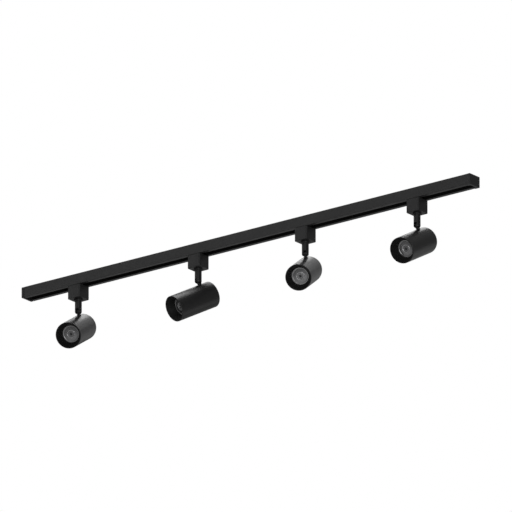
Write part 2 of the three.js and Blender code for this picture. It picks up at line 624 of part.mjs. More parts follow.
/** The anti-glare cone from the rim back to the lens, with a skirt against the tube. */
function baffle() {
  const mouth = HEAD_FRONT_X - BAFFLE_SINK;
  const throat = HEAD_FRONT_X - LENS_RECESS;
  const throatOuter = LENS_APERTURE_RADIUS + BAFFLE_WALL;
  return turnedX([
    [LENS_APERTURE_RADIUS, throat],
    [throatOuter, throat],
    [FIT_RADIUS - BAFFLE_WALL, mouth - BAFFLE_SKIRT_LENGTH + BAFFLE_WALL],
    [FIT_RADIUS - BAFFLE_WALL, mouth - BAFFLE_SKIRT_LENGTH],
    [FIT_RADIUS, mouth - BAFFLE_SKIRT_LENGTH],
    [FIT_RADIUS, mouth],
    [FIT_RADIUS - BAFFLE_WALL, mouth],
    [LENS_APERTURE_RADIUS, throat],
  ], LARGE_SEGMENTS).translate(0, 0, -PIVOT_TO_AXIS);
}

/** The lens: a low dome in front and a collector cone behind. */
function lens() {
  const front = HEAD_FRONT_X - LENS_RECESS - GAP;
  const radius = LENS_APERTURE_RADIUS + LENS_SEAT;
  const back = front - LENS_BODY_LENGTH;
  return turnedX([
    [0, back],
    [LENS_BACK_RADIUS, back],
    [LENS_APERTURE_RADIUS, front - LENS_EDGE],
    [radius, front - LENS_EDGE],
    [radius, front],
    [LENS_APERTURE_RADIUS - GAP, front],
    [LENS_APERTURE_RADIUS / 2, front + LENS_DOME * 0.75],
    [0, front + LENS_DOME],
  ], LARGE_SEGMENTS).translate(0, 0, -PIVOT_TO_AXIS);
}

/** The light source: a board on the bulkhead with its chip facing the lens. */
function ledModule() {
  const back = HEAD_FRONT_X - BULKHEAD_DEPTH + GAP;
  const face = back + LED_MODULE_HEIGHT;
  return turnedX([
    [0, back],
    [LED_MODULE_RADIUS, back],
    [LED_MODULE_RADIUS, face],
    [LED_CHIP_RADIUS, face],
    [LED_CHIP_RADIUS, face + LED_CHIP_HEIGHT],
    [0, face + LED_CHIP_HEIGHT],
  ], MEDIUM_SEGMENTS).translate(0, 0, -PIVOT_TO_AXIS);
}

// ---------------------------------------------------------------- assembly

const fixture = new THREE.Group();

place(fixture, "track_channel", trackChannel(), blackPowderCoat);
place(fixture, "front_insulator", insulator(-1), insulatorPlastic);
place(fixture, "rear_insulator", insulator(1), insulatorPlastic);
place(fixture, "live_conductor", conductor(-1), copper);
place(fixture, "neutral_conductor", conductor(1), copper);
place(fixture, "terminal_block", terminalBlock(), insulatorPlastic);

const liveEnd = new THREE.Group();
liveEnd.position.x = TRACK_RIGHT;
place(liveEnd, "live_end_cap", endCap(LIVE_CAP_LENGTH, LIVE_CAP_PROUD, 0, 0), blackPlastic);
fixture.add(liveEnd);

const deadEnd = new THREE.Group();
deadEnd.position.x = TRACK_LEFT;
deadEnd.rotation.z = Math.PI;
place(deadEnd, "dead_end_cap",
  endCap(DEAD_CAP_LENGTH, 0, DEAD_CAP_SEAM, DEAD_CAP_SEAM_DEPTH), blackPlastic);
fixture.add(deadEnd);

HEADS.forEach(({ x, heading, tilt }, index) => {
  const named = (piece) => `${piece}_${index + 1}`;

  const adapter = new THREE.Group();
  adapter.position.x = x;
  place(adapter, named("adapter_housing"), adapterHousing(), blackPlastic);
  place(adapter, named("adapter_plug"), adapterPlug(), deepBlackPlastic);
  place(adapter, named("live_contact"), contact(-1), copper);
  place(adapter, named("neutral_contact"), contact(1), copper);
  place(adapter, named("lock_tab"), lockTab(), blackPlastic);
  fixture.add(adapter);

  const swivel = new THREE.Group();
  swivel.rotation.z = THREE.MathUtils.degToRad(heading);
  place(swivel, named("stem"), stem(), blackPowderCoat);
  adapter.add(swivel);

  const pivot = new THREE.Group();
  pivot.position.z = PIVOT_Z;
  place(pivot, named("hinge_screw"), hingeScrew(), blackSteel);
  swivel.add(pivot);

  const head = new THREE.Group();
  head.rotation.y = THREE.MathUtils.degToRad(tilt);
  place(head, named("hinge_arm"), hingeArm(), blackPowderCoat);
  place(head, named("head_tube"), headTube(), blackPowderCoat);
  place(head, named("rear_cap"), rearCap(), blackPlastic);
  place(head, named("baffle"), baffle(), deepBlackPlastic);
  place(head, named("lens"), lens(), lensPlastic);
  place(head, named("led_module"), ledModule(), ceramicBoard);
  pivot.add(head);
});

export default fixture;
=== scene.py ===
"""Visual model of a straight ceiling track light with four cylinder spot heads.

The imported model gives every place: the joints give the tilt axes and headings, and the
nodes' boxes give the track's ends. Sizes in the classes are in millimetres, and the mesh
writer turns them into metres.
"""

import json
import logging
import math
from dataclasses import dataclass
from enum import Enum
from typing import Sequence, Union

import bpy
import numpy as np
from mathutils import Matrix, Vector


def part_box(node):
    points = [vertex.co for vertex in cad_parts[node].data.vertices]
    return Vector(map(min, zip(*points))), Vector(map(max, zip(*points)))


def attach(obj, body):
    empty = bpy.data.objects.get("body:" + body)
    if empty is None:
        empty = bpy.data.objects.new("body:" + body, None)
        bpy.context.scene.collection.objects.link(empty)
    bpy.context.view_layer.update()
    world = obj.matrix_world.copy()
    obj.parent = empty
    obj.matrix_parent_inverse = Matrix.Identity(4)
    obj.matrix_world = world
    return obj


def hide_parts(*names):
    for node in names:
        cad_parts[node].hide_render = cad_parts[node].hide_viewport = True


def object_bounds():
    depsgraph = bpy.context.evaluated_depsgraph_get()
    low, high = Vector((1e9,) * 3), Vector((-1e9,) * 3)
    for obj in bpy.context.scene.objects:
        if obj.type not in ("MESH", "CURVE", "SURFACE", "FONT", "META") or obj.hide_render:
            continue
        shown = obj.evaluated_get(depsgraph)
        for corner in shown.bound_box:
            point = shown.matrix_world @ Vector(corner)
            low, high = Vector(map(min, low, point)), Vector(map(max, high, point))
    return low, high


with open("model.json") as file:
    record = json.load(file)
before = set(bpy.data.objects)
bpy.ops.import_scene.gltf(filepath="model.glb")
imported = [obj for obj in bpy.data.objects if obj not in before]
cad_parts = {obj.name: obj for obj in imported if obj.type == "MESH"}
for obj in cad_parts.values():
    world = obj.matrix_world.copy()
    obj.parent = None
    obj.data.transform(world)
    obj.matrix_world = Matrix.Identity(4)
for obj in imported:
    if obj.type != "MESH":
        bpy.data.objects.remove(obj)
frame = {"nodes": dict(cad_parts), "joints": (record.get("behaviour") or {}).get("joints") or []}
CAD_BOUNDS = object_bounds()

Array = np.ndarray
Colour = tuple[float, float, float]

MM = 0.001  # one millimetre in metres
GAP = 0.3  # what touching pieces keep between them
THROUGH = 1.0  # how far a cutting tool reaches past what it cuts
ROUND = 128  # columns round a tube
FINE_ROUND = 96  # columns round a stem
SMALL_ROUND = 48  # columns round a hole or a screw
CORNER_STEPS = 6  # faces across a rounded edge
WELD = 0.002
NOISE_LOW, NOISE_HIGH = 0.3, 0.7  # the middle of a noise's range
RING_ATTRIBUTE = "ring"

log = logging.getLogger("track_light")


# ------------------------------------------------------------------ places


@dataclass(frozen=True)
class Place:
    """Where a shape's own axes stand in the row frame.

    origin is in millimetres, and the columns of axes are the shape's X, Y and Z.
    """

    origin: Array
    axes: Array

    def matrix(self) -> Matrix:
        """The matrix that takes a shape in millimetres to the row frame in metres.

        Returns:
            The 4 by 4 matrix.
        """
        made = np.eye(4)
        made[:3, :3] = self.axes * MM
        made[:3, 3] = self.origin * MM
        return Matrix(made.tolist())

    def moved(self, along: Sequence[float]) -> "Place":
        """The same axes with the origin moved by a distance in its own axes."""
        return Place(self.origin + self.axes @ np.array(along, float), self.axes)


def turned_place(origin: Sequence[float], heading: float = 0.0, tilt: float = 0.0) -> Place:
    """A place whose X points along a heading and down by a tilt, with Z in the same upright plane.

    Args:
        origin: the local origin, in millimetres.
        heading: the angle of local X round row Z, in radians.
        tilt: how far local X points below the horizontal, in radians.

    Returns:
        The place.
    """
    level = np.array([math.cos(heading), math.sin(heading), 0.0])
    up = np.array([0.0, 0.0, 1.0])
    forward = level * math.cos(tilt) - up * math.sin(tilt)
    top = level * math.sin(tilt) + up * math.cos(tilt)
    return Place(np.array(origin, float), np.stack([forward, np.cross(top, forward), top], axis=1))


# ------------------------------------------------------------------ outlines


def rounded(corners: Sequence[Sequence[float]], radii: Sequence[float], closed: bool = True) -> Array:
    """An outline with each corner replaced by an arc that touches both its sides.

    The arc's centre is the corner plus r / sin(half angle) along the bisector, and its
    points are the spherical blend of the two radii that meet the sides.

    Args:
        corners: the outline's sharp corners.
        radii: one radius for each corner, 0 for a corner that stays sharp.
        closed: whether the last corner is joined to the first.

    Returns:
        The points of the rounded outline.
    """
    points = np.array(corners, float)
    count = len(points)
    pieces = []
    for index, radius in enumerate(radii):
        corner = points[index]
        at_end = not closed and index in (0, count - 1)
        if radius <= 0 or at_end:
            pieces.append(corner[None])
            continue
        before = points[index - 1] - corner
        after = points[(index + 1) % count] - corner
        before /= np.linalg.norm(before)
        after /= np.linalg.norm(after)
        half = math.acos(float(np.clip(before @ after, -1, 1))) / 2
        reach = radius / math.tan(half)
        bisector = (before + after) / np.linalg.norm(before + after)
        centre = corner + bisector * radius / math.sin(half)
        first = corner + before * reach - centre
        last = corner + after * reach - centre
        sweep = math.pi - 2 * half
        share = np.linspace(0, 1, CORNER_STEPS + 1)[:, None]
        blend = np.sin((1 - share) * sweep) * first + np.sin(share * sweep) * last
        pieces.append(centre + blend / math.sin(sweep))
    return np.concatenate(pieces)


def corner_loop(half_x: float, half_y: float, radius: float, steps: int = 8) -> Array:
    """A rectangle with round corners, as four quarter circles of equal point counts.

    The points stand half a step inside each quarter, so with half_x = half_y = radius the
    loop is an even circle, and any two such loops can be lofted.

    Args:
        half_x: half the rectangle's size along its first axis.
        half_y: half the rectangle's size along its second axis.
        radius: the corners' radius.
        steps: points in each quarter.

    Returns:
        An array of (4 * steps, 2) points, anticlockwise.
    """
    angles = (np.arange(4 * steps) + 0.5) * math.pi / (2 * steps)
    signs = np.repeat(np.array([[1, 1], [-1, 1], [-1, -1], [1, -1]], float), steps, axis=0)
    centres = signs * np.array([half_x - radius, half_y - radius])
    return centres + radius * np.stack([np.cos(angles), np.sin(angles)], axis=1)


def turned(profile: Array, segments: int, axis: str = "z") -> Array:
    """A profile of (radius, height) points turned once round an axis.

    Row i, column j is (radius_i cos a_j, radius_i sin a_j, height_i), with the height laid
    along the named axis and the circle round it.

    Args:
        profile: the (radius, height) points.
        segments: columns round the circle.
        axis: "x", "y" or "z".

    Returns:
        A grid of (rows, segments, 3) points.
    """
    angle = (np.arange(segments) + 0.5) * 2 * math.pi / segments
    radius = profile[:, :1]
    across = radius * np.cos(angle)
    upward = radius * np.sin(angle)
    height = np.repeat(profile[:, 1:], segments, axis=1)
    order = {"x": (height, across, upward), "y": (upward, height, across), "z": (across, upward, height)}
    return np.stack(order[axis], axis=-1)


def swept(outline: Array, stations: Sequence[float]) -> Array:
    """A (y, z) outline repeated at each X station: row i is the outline at x_i.

    Args:
        outline: the (y, z) points.
        stations: the X of each row.

    Returns:
        A grid of (stations, points, 3) points.
    """
    grid = np.empty((len(stations), len(outline), 3))
    grid[..., 0] = np.array(stations, float)[:, None]
    grid[..., 1:] = outline[None]
    return grid


def lofted(rows: Sequence[tuple[float, float, float, float]], steps: int = 8) -> Array:
    """Round-cornered loops stacked along Z.

    Args:
        rows: for each loop its half length, half width, corner radius and height.
        steps: points in each quarter of a loop.

    Returns:
        A grid with one row for each loop.
    """
    loops = [
        np.column_stack([corner_loop(a, b, r, steps), np.full(4 * steps, z)])
        for a, b, r, z in rows
    ]
    return np.stack(loops)


# ------------------------------------------------------------------ solids


class End(Enum):
    """How a grid of rings ends."""

    FILLED = "filled"
    POLE = "pole"
    LOOP = "loop"


def ring_faces(rows: int, columns: int, wrap: bool) -> Array:
    """The quads between neighbouring rings of a grid.

    Quad (i, j) joins columns j and j + 1 of rings i and i + 1, and columns always wrap.

    Args:
        rows: the number of rings.
        columns: the points in each ring.
        wrap: whether the last ring is joined to the first.

    Returns:
        An array of (faces, 4) vertex numbers.
    """
    steps = rows if wrap else rows - 1
    i = np.arange(steps)[:, None]
    j = np.arange(columns)[None]
    below = i * columns
    above = ((i + 1) % rows) * columns
    following = (j + 1) % columns
    return np.stack([below + j, below + following, above + following, above + j], axis=-1).reshape(-1, 4)


def signed_volume(points: Array, faces: Sequence[Sequence[int]]) -> float:
    """Six times the volume inside the faces: the sum of a . (b x c) over fan triangles.

    Args:
        points: the (count, 3) vertices.
        faces: vertex numbers of each face.

    Returns:
        The sum, positive where the faces point outwards.
    """
    total = 0.0
    for size in {len(face) for face in faces}:
        block = points[np.array([face for face in faces if len(face) == size])]
        for k in range(1, size - 1):
            cross = np.cross(block[:, k], block[:, k + 1])
            total += float(np.einsum("ij,ij->", block[:, 0], cross))
    return total


def solid(grid: Array, end: End = End.FILLED) -> bpy.types.Object:
    """Writes a grid of closed rings as one closed mesh whose faces point outwards.

    Args:
        grid: (rows, columns, 3) points in millimetres, each row a closed ring.
        end: FILLED puts a flat face over both end rings, POLE draws each end ring
            together to one point, and LOOP joins the last ring to the first.

    Returns:
        A working object in the piece's own axes, in millimetres.
    """
    rows, columns = grid.shape[:2]
    points = grid.reshape(-1, 3)
    if end is End.POLE:
        inner = points[columns:-columns]
        points = np.concatenate([inner, grid[0].mean(axis=0)[None], grid[-1].mean(axis=0)[None]])
        faces = ring_faces(rows - 2, columns, False).tolist()
        around = np.arange(columns)
        following = (around + 1) % columns
        top = (rows - 3) * columns
        first_pole = np.full(columns, len(inner))
        faces += np.stack([first_pole, following, around], axis=1).tolist()
        faces += np.stack([first_pole + 1, top + around, top + following], axis=1).tolist()
    else:
        faces = ring_faces(rows, columns, end is End.LOOP).tolist()
    if end is End.FILLED:
        last = (rows - 1) * columns
        faces.append(list(range(columns))[::-1])
        faces.append(list(range(last, last + columns)))
    if signed_volume(points - points.mean(axis=0), faces) < 0:
        faces = [face[::-1] for face in faces]
    mesh = bpy.data.meshes.new("work")
    mesh.from_pydata(points.tolist(), [], faces)
    mesh.update()
    made = bpy.data.objects.new("work", mesh)
    bpy.context.scene.collection.objects.link(made)
    return made


def bar(radius: float, low: float, high: float, axis: str,
        offset: Sequence[float] = (0.0, 0.0, 0.0)) -> bpy.types.Object:
    """A round bar used as a cutting tool.

    Args:
        radius: the bar's radius.
        low: where it starts along its axis.
        high: where it ends along its axis.
        axis: "x", "y" or "z".
        offset: added to every point.

    Returns:
        The bar's working object.
    """
    grid = turned(np.array([[radius, low], [radius, high]]), SMALL_ROUND, axis)
    return solid(grid + np.array(offset, float))


def brick(low: Sequence[float], high: Sequence[float]) -> bpy.types.Object:
    """A box between two corners, used as a cutting tool or a joining block.

    Args:
        low: its lowest corner.
        high: its highest corner.

    Returns:
        The box's working object.
    """
    x0, y0, z0 = low
    x1, y1, z1 = high
    outline = np.array([[y0, z0], [y1, z0], [y1, z1], [y0, z1]], float)
    return solid(swept(outline, [x0, x1]))


def keep_evaluated(work: bpy.types.Object) -> None:
    """Replaces a working object's mesh by the mesh its modifiers make, and drops the modifiers.

    Args:
        work: the working object.
    """
    graph = bpy.context.evaluated_depsgraph_get()
    made = bpy.data.meshes.new_from_object(work.evaluated_get(graph))
    old = work.data
    work.modifiers.clear()
    work.data = made
    bpy.data.meshes.remove(old)


def combine(work: bpy.types.Object, others: Sequence[bpy.types.Object], operation: str) -> bpy.types.Object:
    """Cuts other closed solids out of one, or adds them, and removes them.

    Args:
        work: the solid that stays.
        others: closed solids in the same axes.
        operation: "DIFFERENCE" or "UNION".

    Returns:
        The solid that stays.
    """
    for other in others:
        modifier = work.modifiers.new("combine", "BOOLEAN")
        modifier.operation = operation
        modifier.solver = "EXACT"
        modifier.object = other
        keep_evaluated(work)
        bpy.data.objects.remove(other)
    return work


def dressed(work: bpy.types.Object, degrees: float = 32.0) -> bpy.types.Mesh:
    """Turns a working solid into a finished shape that is shaded smooth.

    Doubled points are joined, edges over the given angle stay sharp, and each normal
    leans to the largest of its faces, so flat faces stay flat next to their rounded edges.

    Args:
        work: the working object, which is removed.
        degrees: edges that turn by more than this stay sharp.

    Returns:
        The shape's mesh, in millimetres in its own axes.
    """
    work.data.shade_smooth()
    weld = work.modifiers.new("weld", "WELD")
    weld.merge_threshold = WELD
    keep_evaluated(work)
    work.data.set_sharp_from_angle(angle=math.radians(degrees))
    normals = work.modifiers.new("normals", "WEIGHTED_NORMAL")
    normals.keep_sharp = True
    keep_evaluated(work)
    shape = work.data
    bpy.data.objects.remove(work)
    return shape


# ------------------------------------------------------------------ pieces


@dataclass(frozen=True)
class Unit:
    """One lighting unit on the track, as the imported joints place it.

    The pivot is in millimetres, the heading is the angle of the spot's aim round Z, and
    the tilt is how far it aims below the horizontal, both in radians.
    """

    number: int
    pivot: tuple[float, float, float]
    heading: float
    tilt: float

    def named(self, word: str) -> str:
        """A piece's, body's or node's name with this unit's number."""
        return f"{word}_{self.number}"

    def box(self, word: str) -> tuple[Array, Array]:
        """The lowest and highest corner of one of this unit's CAD nodes, in millimetres."""
        low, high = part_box(self.named(word))
        return np.array(low) / MM, np.array(high) / MM

    def upright(self) -> Place:
        """The stem's axes: origin on the tilt axis, X along the heading, Z up."""
        return turned_place(self.pivot, self.heading)

    def tilted(self) -> Place:
        """The head's axes: origin on the tilt axis, X along the aim."""
        return turned_place(self.pivot, self.heading, self.tilt)


class Bench:
    """Places finished shapes in the row frame as pieces, with their finishes."""

    def __init__(self) -> None:
        """Starts with no materials made."""
        self._materials: dict[str, bpy.types.Material] = {}

    def material(self, finish: "Finish") -> bpy.types.Material:
        """A finish's material, built the first time it is asked for.

        Args:
            finish: the finish.

        Returns:
            Its material.
        """
        if finish.name not in self._materials:
            self._materials[finish.name] = finish.material()
        return self._materials[finish.name]

    def place(self, name: str, shape: bpy.types.Mesh, place: Place, body: str, finish: "Finish",
              node: str) -> None:
        """Makes a piece from a copy of a shape.

        Args:
            name: the piece's name.
            shape: the shape, in millimetres in its own axes.
            place: where its own axes stand in the row frame.
            body: the CAD body that it rides on.
            finish: its finish.
            node: the CAD node that it stands for.
        """
        mesh = shape.copy()
        mesh.name = name
        mesh.transform(place.matrix())
        mesh.materials.clear()
        mesh.materials.append(self.material(finish))
        piece = bpy.data.objects.new(name, mesh)
        bpy.context.scene.collection.objects.link(piece)
        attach(piece, body)
        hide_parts(node)
        log.info("%s rides on %s and stands for %s, %d faces", name, body, node, len(mesh.polygons))

    def dress_node(self, node: str, finish: "Finish") -> None:
        """Puts a finish on a CAD node that stays in view.

        Args:
            node: the node's name.
            finish: its finish.
        """
        mesh = frame["nodes"][node].data
        mesh.materials.clear()
        mesh.materials.append(self.material(finish))
        log.info("%s keeps its shape in %s", node, finish.name)


# ------------------------------------------------------------------ finishes


class Graph:
    """A material's node tree with short ways to add what the finishes share."""

    def __init__(self, name: str) -> None:
        """Makes an empty material with a Principled shader on its output.

        Args:
            name: the material's name.
        """
        self.material = bpy.data.materials.new(name)
        self.material.use_nodes = True
        self.tree = self.material.node_tree
        self.tree.nodes.clear()
        output = self.tree.nodes.new("ShaderNodeOutputMaterial")
        self.shader = self.tree.nodes.new("ShaderNodeBsdfPrincipled")
        self.tree.links.new(self.shader.outputs["BSDF"], output.inputs["Surface"])
        self.coordinates = self.tree.nodes.new("ShaderNodeTexCoord").outputs["Object"]

    def link(self, output: bpy.types.NodeSocket, target: bpy.types.NodeSocket) -> None:
        """Joins two sockets."""
        self.tree.links.new(output, target)

    def noise(self, per_metre: float, detail: float = 3.0, stretch: Sequence[float] = (1, 1, 1)
              ) -> bpy.types.NodeSocket:
        """A noise value on object coordinates.

        Args:
            per_metre: how many grains lie in a metre.
            detail: how many finer layers are added.
            stretch: a factor for each axis, below 1 to draw the grain out along it.

        Returns:
            The noise's value socket, about 0.5 on average.
        """
        mapping = self.tree.nodes.new("ShaderNodeMapping")
        mapping.inputs["Scale"].default_value = stretch
        self.link(self.coordinates, mapping.inputs["Vector"])
        node = self.tree.nodes.new("ShaderNodeTexNoise")
        node.inputs["Scale"].default_value = per_metre
        node.inputs["Detail"].default_value = detail
        self.link(mapping.outputs["Vector"], node.inputs["Vector"])
        return node.outputs["Fac"]

    def spread(self, value: bpy.types.NodeSocket, low: float, high: float) -> bpy.types.NodeSocket:
        """Maps the middle of a noise's range to two limits.

        Args:
            value: the noise.
            low: what the low end becomes.
            high: what the high end becomes.

        Returns:
            The mapped value's socket.
        """
        node = self.tree.nodes.new("ShaderNodeMapRange")
        node.inputs["From Min"].default_value = NOISE_LOW
        node.inputs["From Max"].default_value = NOISE_HIGH
        node.inputs["To Min"].default_value = low
        node.inputs["To Max"].default_value = high
        self.link(value, node.inputs["Value"])
        return node.outputs["Result"]

    def ramp(self, value: bpy.types.NodeSocket, stops: Sequence[tuple[float, Colour]]
             ) -> bpy.types.NodeSocket:
        """A colour ramp.

        Args:
            value: what picks the colour, from 0 to 1.
            stops: (position, colour) pairs in order.

        Returns:
            The colour's socket.
        """
        node = self.tree.nodes.new("ShaderNodeValToRGB")
        elements = node.color_ramp.elements
        while len(elements) < len(stops):
            elements.new(1.0)
        for element, (position, colour) in zip(elements, stops):
            element.position = position
            element.color = (*colour, 1.0)
        self.link(value, node.inputs["Fac"])
        return node.outputs["Color"]

    def bump(self, value: bpy.types.NodeSocket, height: float) -> None:
        """Raises the surface by a value times a height.

        Args:
            value: what raises it, from 0 to 1.
            height: how far 1 raises it, in millimetres.
        """
        node = self.tree.nodes.new("ShaderNodeBump")
        node.inputs["Distance"].default_value = height * MM
        node.inputs["Strength"].default_value = 1.0
        self.link(value, node.inputs["Height"])
        self.link(node.outputs["Normal"], self.shader.inputs["Normal"])

    def plain(self, **values: float) -> None:
        """Sets constants on the shader's own sockets; an underscore stands for a space."""
        for key, value in values.items():
            self.shader.inputs[key.replace("_", " ")].default_value = value


@dataclass(frozen=True)
class CoatFinish:
    """A black coat or moulded plastic: clouded colour, uneven gloss and a fine grain."""

    name: str
    slot: str
    dark: Colour
    light: Colour
    smooth: float
    rough: float
    grain_per_metre: float
    grain_height: float
    specular: float = 0.5

    def material(self) -> bpy.types.Material:
        """Builds the finish.

        Returns:
            A material whose colour follows a slow noise, whose roughness follows a
            middle one and whose bump follows a fine one.
        """
        graph = Graph(self.name)
        clouds = graph.noise(9.0, 4.0)
        colour = graph.ramp(clouds, [(NOISE_LOW, self.dark), (NOISE_HIGH, self.light)])
        graph.link(colour, graph.shader.inputs["Base Color"])
        haze = graph.noise(60.0, 5.0)
        graph.link(graph.spread(haze, self.smooth, self.rough), graph.shader.inputs["Roughness"])
        graph.bump(graph.noise(self.grain_per_metre, 2.0), self.grain_height)
        graph.plain(Specular_IOR_Level=self.specular)
        return graph.material


@dataclass(frozen=True)
class DrawnMetalFinish:
    """Bare metal with fine drawing lines along X."""

    name: str
    slot: str
    dark: Colour
    light: Colour
    roughness: float
    lines_per_metre: float = 900.0

    def material(self) -> bpy.types.Material:
        """Builds the finish: the lines tint the colour and the gloss.

        Returns:
            The material.
        """
        graph = Graph(self.name)
        lines = graph.noise(self.lines_per_metre, 2.0, (0.02, 1, 1))
        colour = graph.ramp(lines, [(NOISE_LOW, self.dark), (NOISE_HIGH, self.light)])
        graph.link(colour, graph.shader.inputs["Base Color"])
        graph.link(graph.spread(lines, self.roughness * 0.8, self.roughness * 1.3),
                   graph.shader.inputs["Roughness"])
        graph.bump(lines, 0.004)
        graph.plain(Metallic=1.0)
        return graph.material


@dataclass(frozen=True)
class PaintedLightLens:
    """Clear moulded optic seen against its dark inside, drawn as painted light: greys in rings round its
    axis paint the light through it and the shade of its dark inside.
    """

    name: str
    slot: str
    # painted light: (share of the radius, grey) stops that paint the lens's bright rings of light and the
    # painted shade at its middle
    rings: tuple[tuple[float, Colour], ...]
    roughness: float
    metallic: float

    def material(self) -> bpy.types.Material:
        """Builds the material, whose painted light and shade follow the piece's own ring attribute, 0 on the
        axis and 1 at the edge.

        Returns:
            The material.
        """
        graph = Graph(self.name)
        attribute = graph.tree.nodes.new("ShaderNodeAttribute")
        attribute.attribute_name = RING_ATTRIBUTE
        # the base colour is painted light and shade, in rings round the lens's axis
        colour = graph.ramp(attribute.outputs["Fac"], self.rings)
        graph.link(colour, graph.shader.inputs["Base Color"])
        haze = graph.noise(400.0, 3.0)
        graph.link(graph.spread(haze, self.roughness * 0.9, self.roughness * 1.2),
                   graph.shader.inputs["Roughness"])
        graph.bump(graph.noise(1500.0, 1.0), 0.0005)
        graph.plain(Metallic=self.metallic, Coat_Weight=0.6, Coat_Roughness=0.08, IOR=1.49)
        return graph.material


@dataclass(frozen=True)
class BoardFinish:
    """White light-source board, slightly speckled."""

    name: str
    slot: str
    board: Colour
    speck: Colour

    def material(self) -> bpy.types.Material:
        """Builds the finish from two sizes of speckle.

        Returns:
            The material.
        """
        graph = Graph(self.name)
        specks = graph.noise(500.0, 4.0)
        colour = graph.ramp(specks, [(0.35, self.speck), (0.6, self.board)])
        graph.link(colour, graph.shader.inputs["Base Color"])
        graph.link(graph.spread(specks, 0.35, 0.6), graph.shader.inputs["Roughness"])
        return graph.material


Finish = Union[CoatFinish, DrawnMetalFinish, PaintedLightLens, BoardFinish]

TRACK_COAT = CoatFinish(
    "track_powder_coat", "track_coat", dark=(0.0105, 0.0105, 0.011), light=(0.0145, 0.0145, 0.015),
    smooth=0.40, rough=0.50, grain_per_metre=900.0, grain_height=0.010)
HEAD_COAT = CoatFinish(
    "head_powder_coat", "head_coat", dark=(0.0115, 0.0115, 0.012), light=(0.016, 0.016, 0.0165),
    smooth=0.34, rough=0.38, grain_per_metre=1600.0, grain_height=0.002)
STEM_COAT = CoatFinish(
    "stem_powder_coat", "stem_coat", dark=(0.0085, 0.0085, 0.009), light=(0.0125, 0.0125, 0.013),
    smooth=0.33, rough=0.38, grain_per_metre=1600.0, grain_height=0.002)
CASE_PLASTIC = CoatFinish(
    "case_plastic", "black_plastic", dark=(0.0105, 0.0105, 0.011), light=(0.0145, 0.0145, 0.015),
    smooth=0.42, rough=0.54, grain_per_metre=1400.0, grain_height=0.012)
BAFFLE_BLACK = CoatFinish(
    "baffle_black", "baffle_black", dark=(0.0022, 0.0022, 0.0022), light=(0.004, 0.004, 0.004),
    smooth=0.55, rough=0.7, grain_per_metre=1500.0, grain_height=0.010, specular=0.28)
INSULATOR = CoatFinish(
    "insulator_plastic", "insulator", dark=(0.002, 0.002, 0.002), light=(0.004, 0.004, 0.004),
    smooth=0.6, rough=0.75, grain_per_metre=700.0, grain_height=0.010, specular=0.25)
COPPER = DrawnMetalFinish(
    "drawn_copper", "copper", dark=(0.62, 0.30, 0.17), light=(0.80, 0.45, 0.28), roughness=0.32)
BLACK_STEEL = CoatFinish(
    "black_oxide_steel", "screw_steel", dark=(0.012, 0.012, 0.013), light=(0.03, 0.03, 0.032),
    smooth=0.28, rough=0.42, grain_per_metre=2200.0, grain_height=0.004, specular=0.7)
# Painted light and shade: the 0.62 ring paints a bright ring of light through the clear lens, and the
# near-black middle paints the shade of its dark inside.
LENS_PAINTED_LIGHT = PaintedLightLens("lens_plastic", "lens_plastic", rings=(
    (0.0, (0.05, 0.05, 0.052)),
    (0.12, (0.07, 0.07, 0.072)),
    (0.17, (0.28, 0.28, 0.285)),
    (0.33, (0.25, 0.25, 0.255)),
    (0.38, (0.62, 0.62, 0.63)),
    (0.46, (0.62, 0.62, 0.63)),
    (0.52, (0.27, 0.27, 0.275)),
    (0.80, (0.22, 0.22, 0.224)),
    (0.88, (0.42, 0.42, 0.424)),
    (1.0, (0.50, 0.50, 0.505)),
), roughness=0.17, metallic=0.8)
LED_BOARD = BoardFinish("led_board", "led_board", board=(0.78, 0.76, 0.70), speck=(0.62, 0.60, 0.54))


# ------------------------------------------------------------------ the track


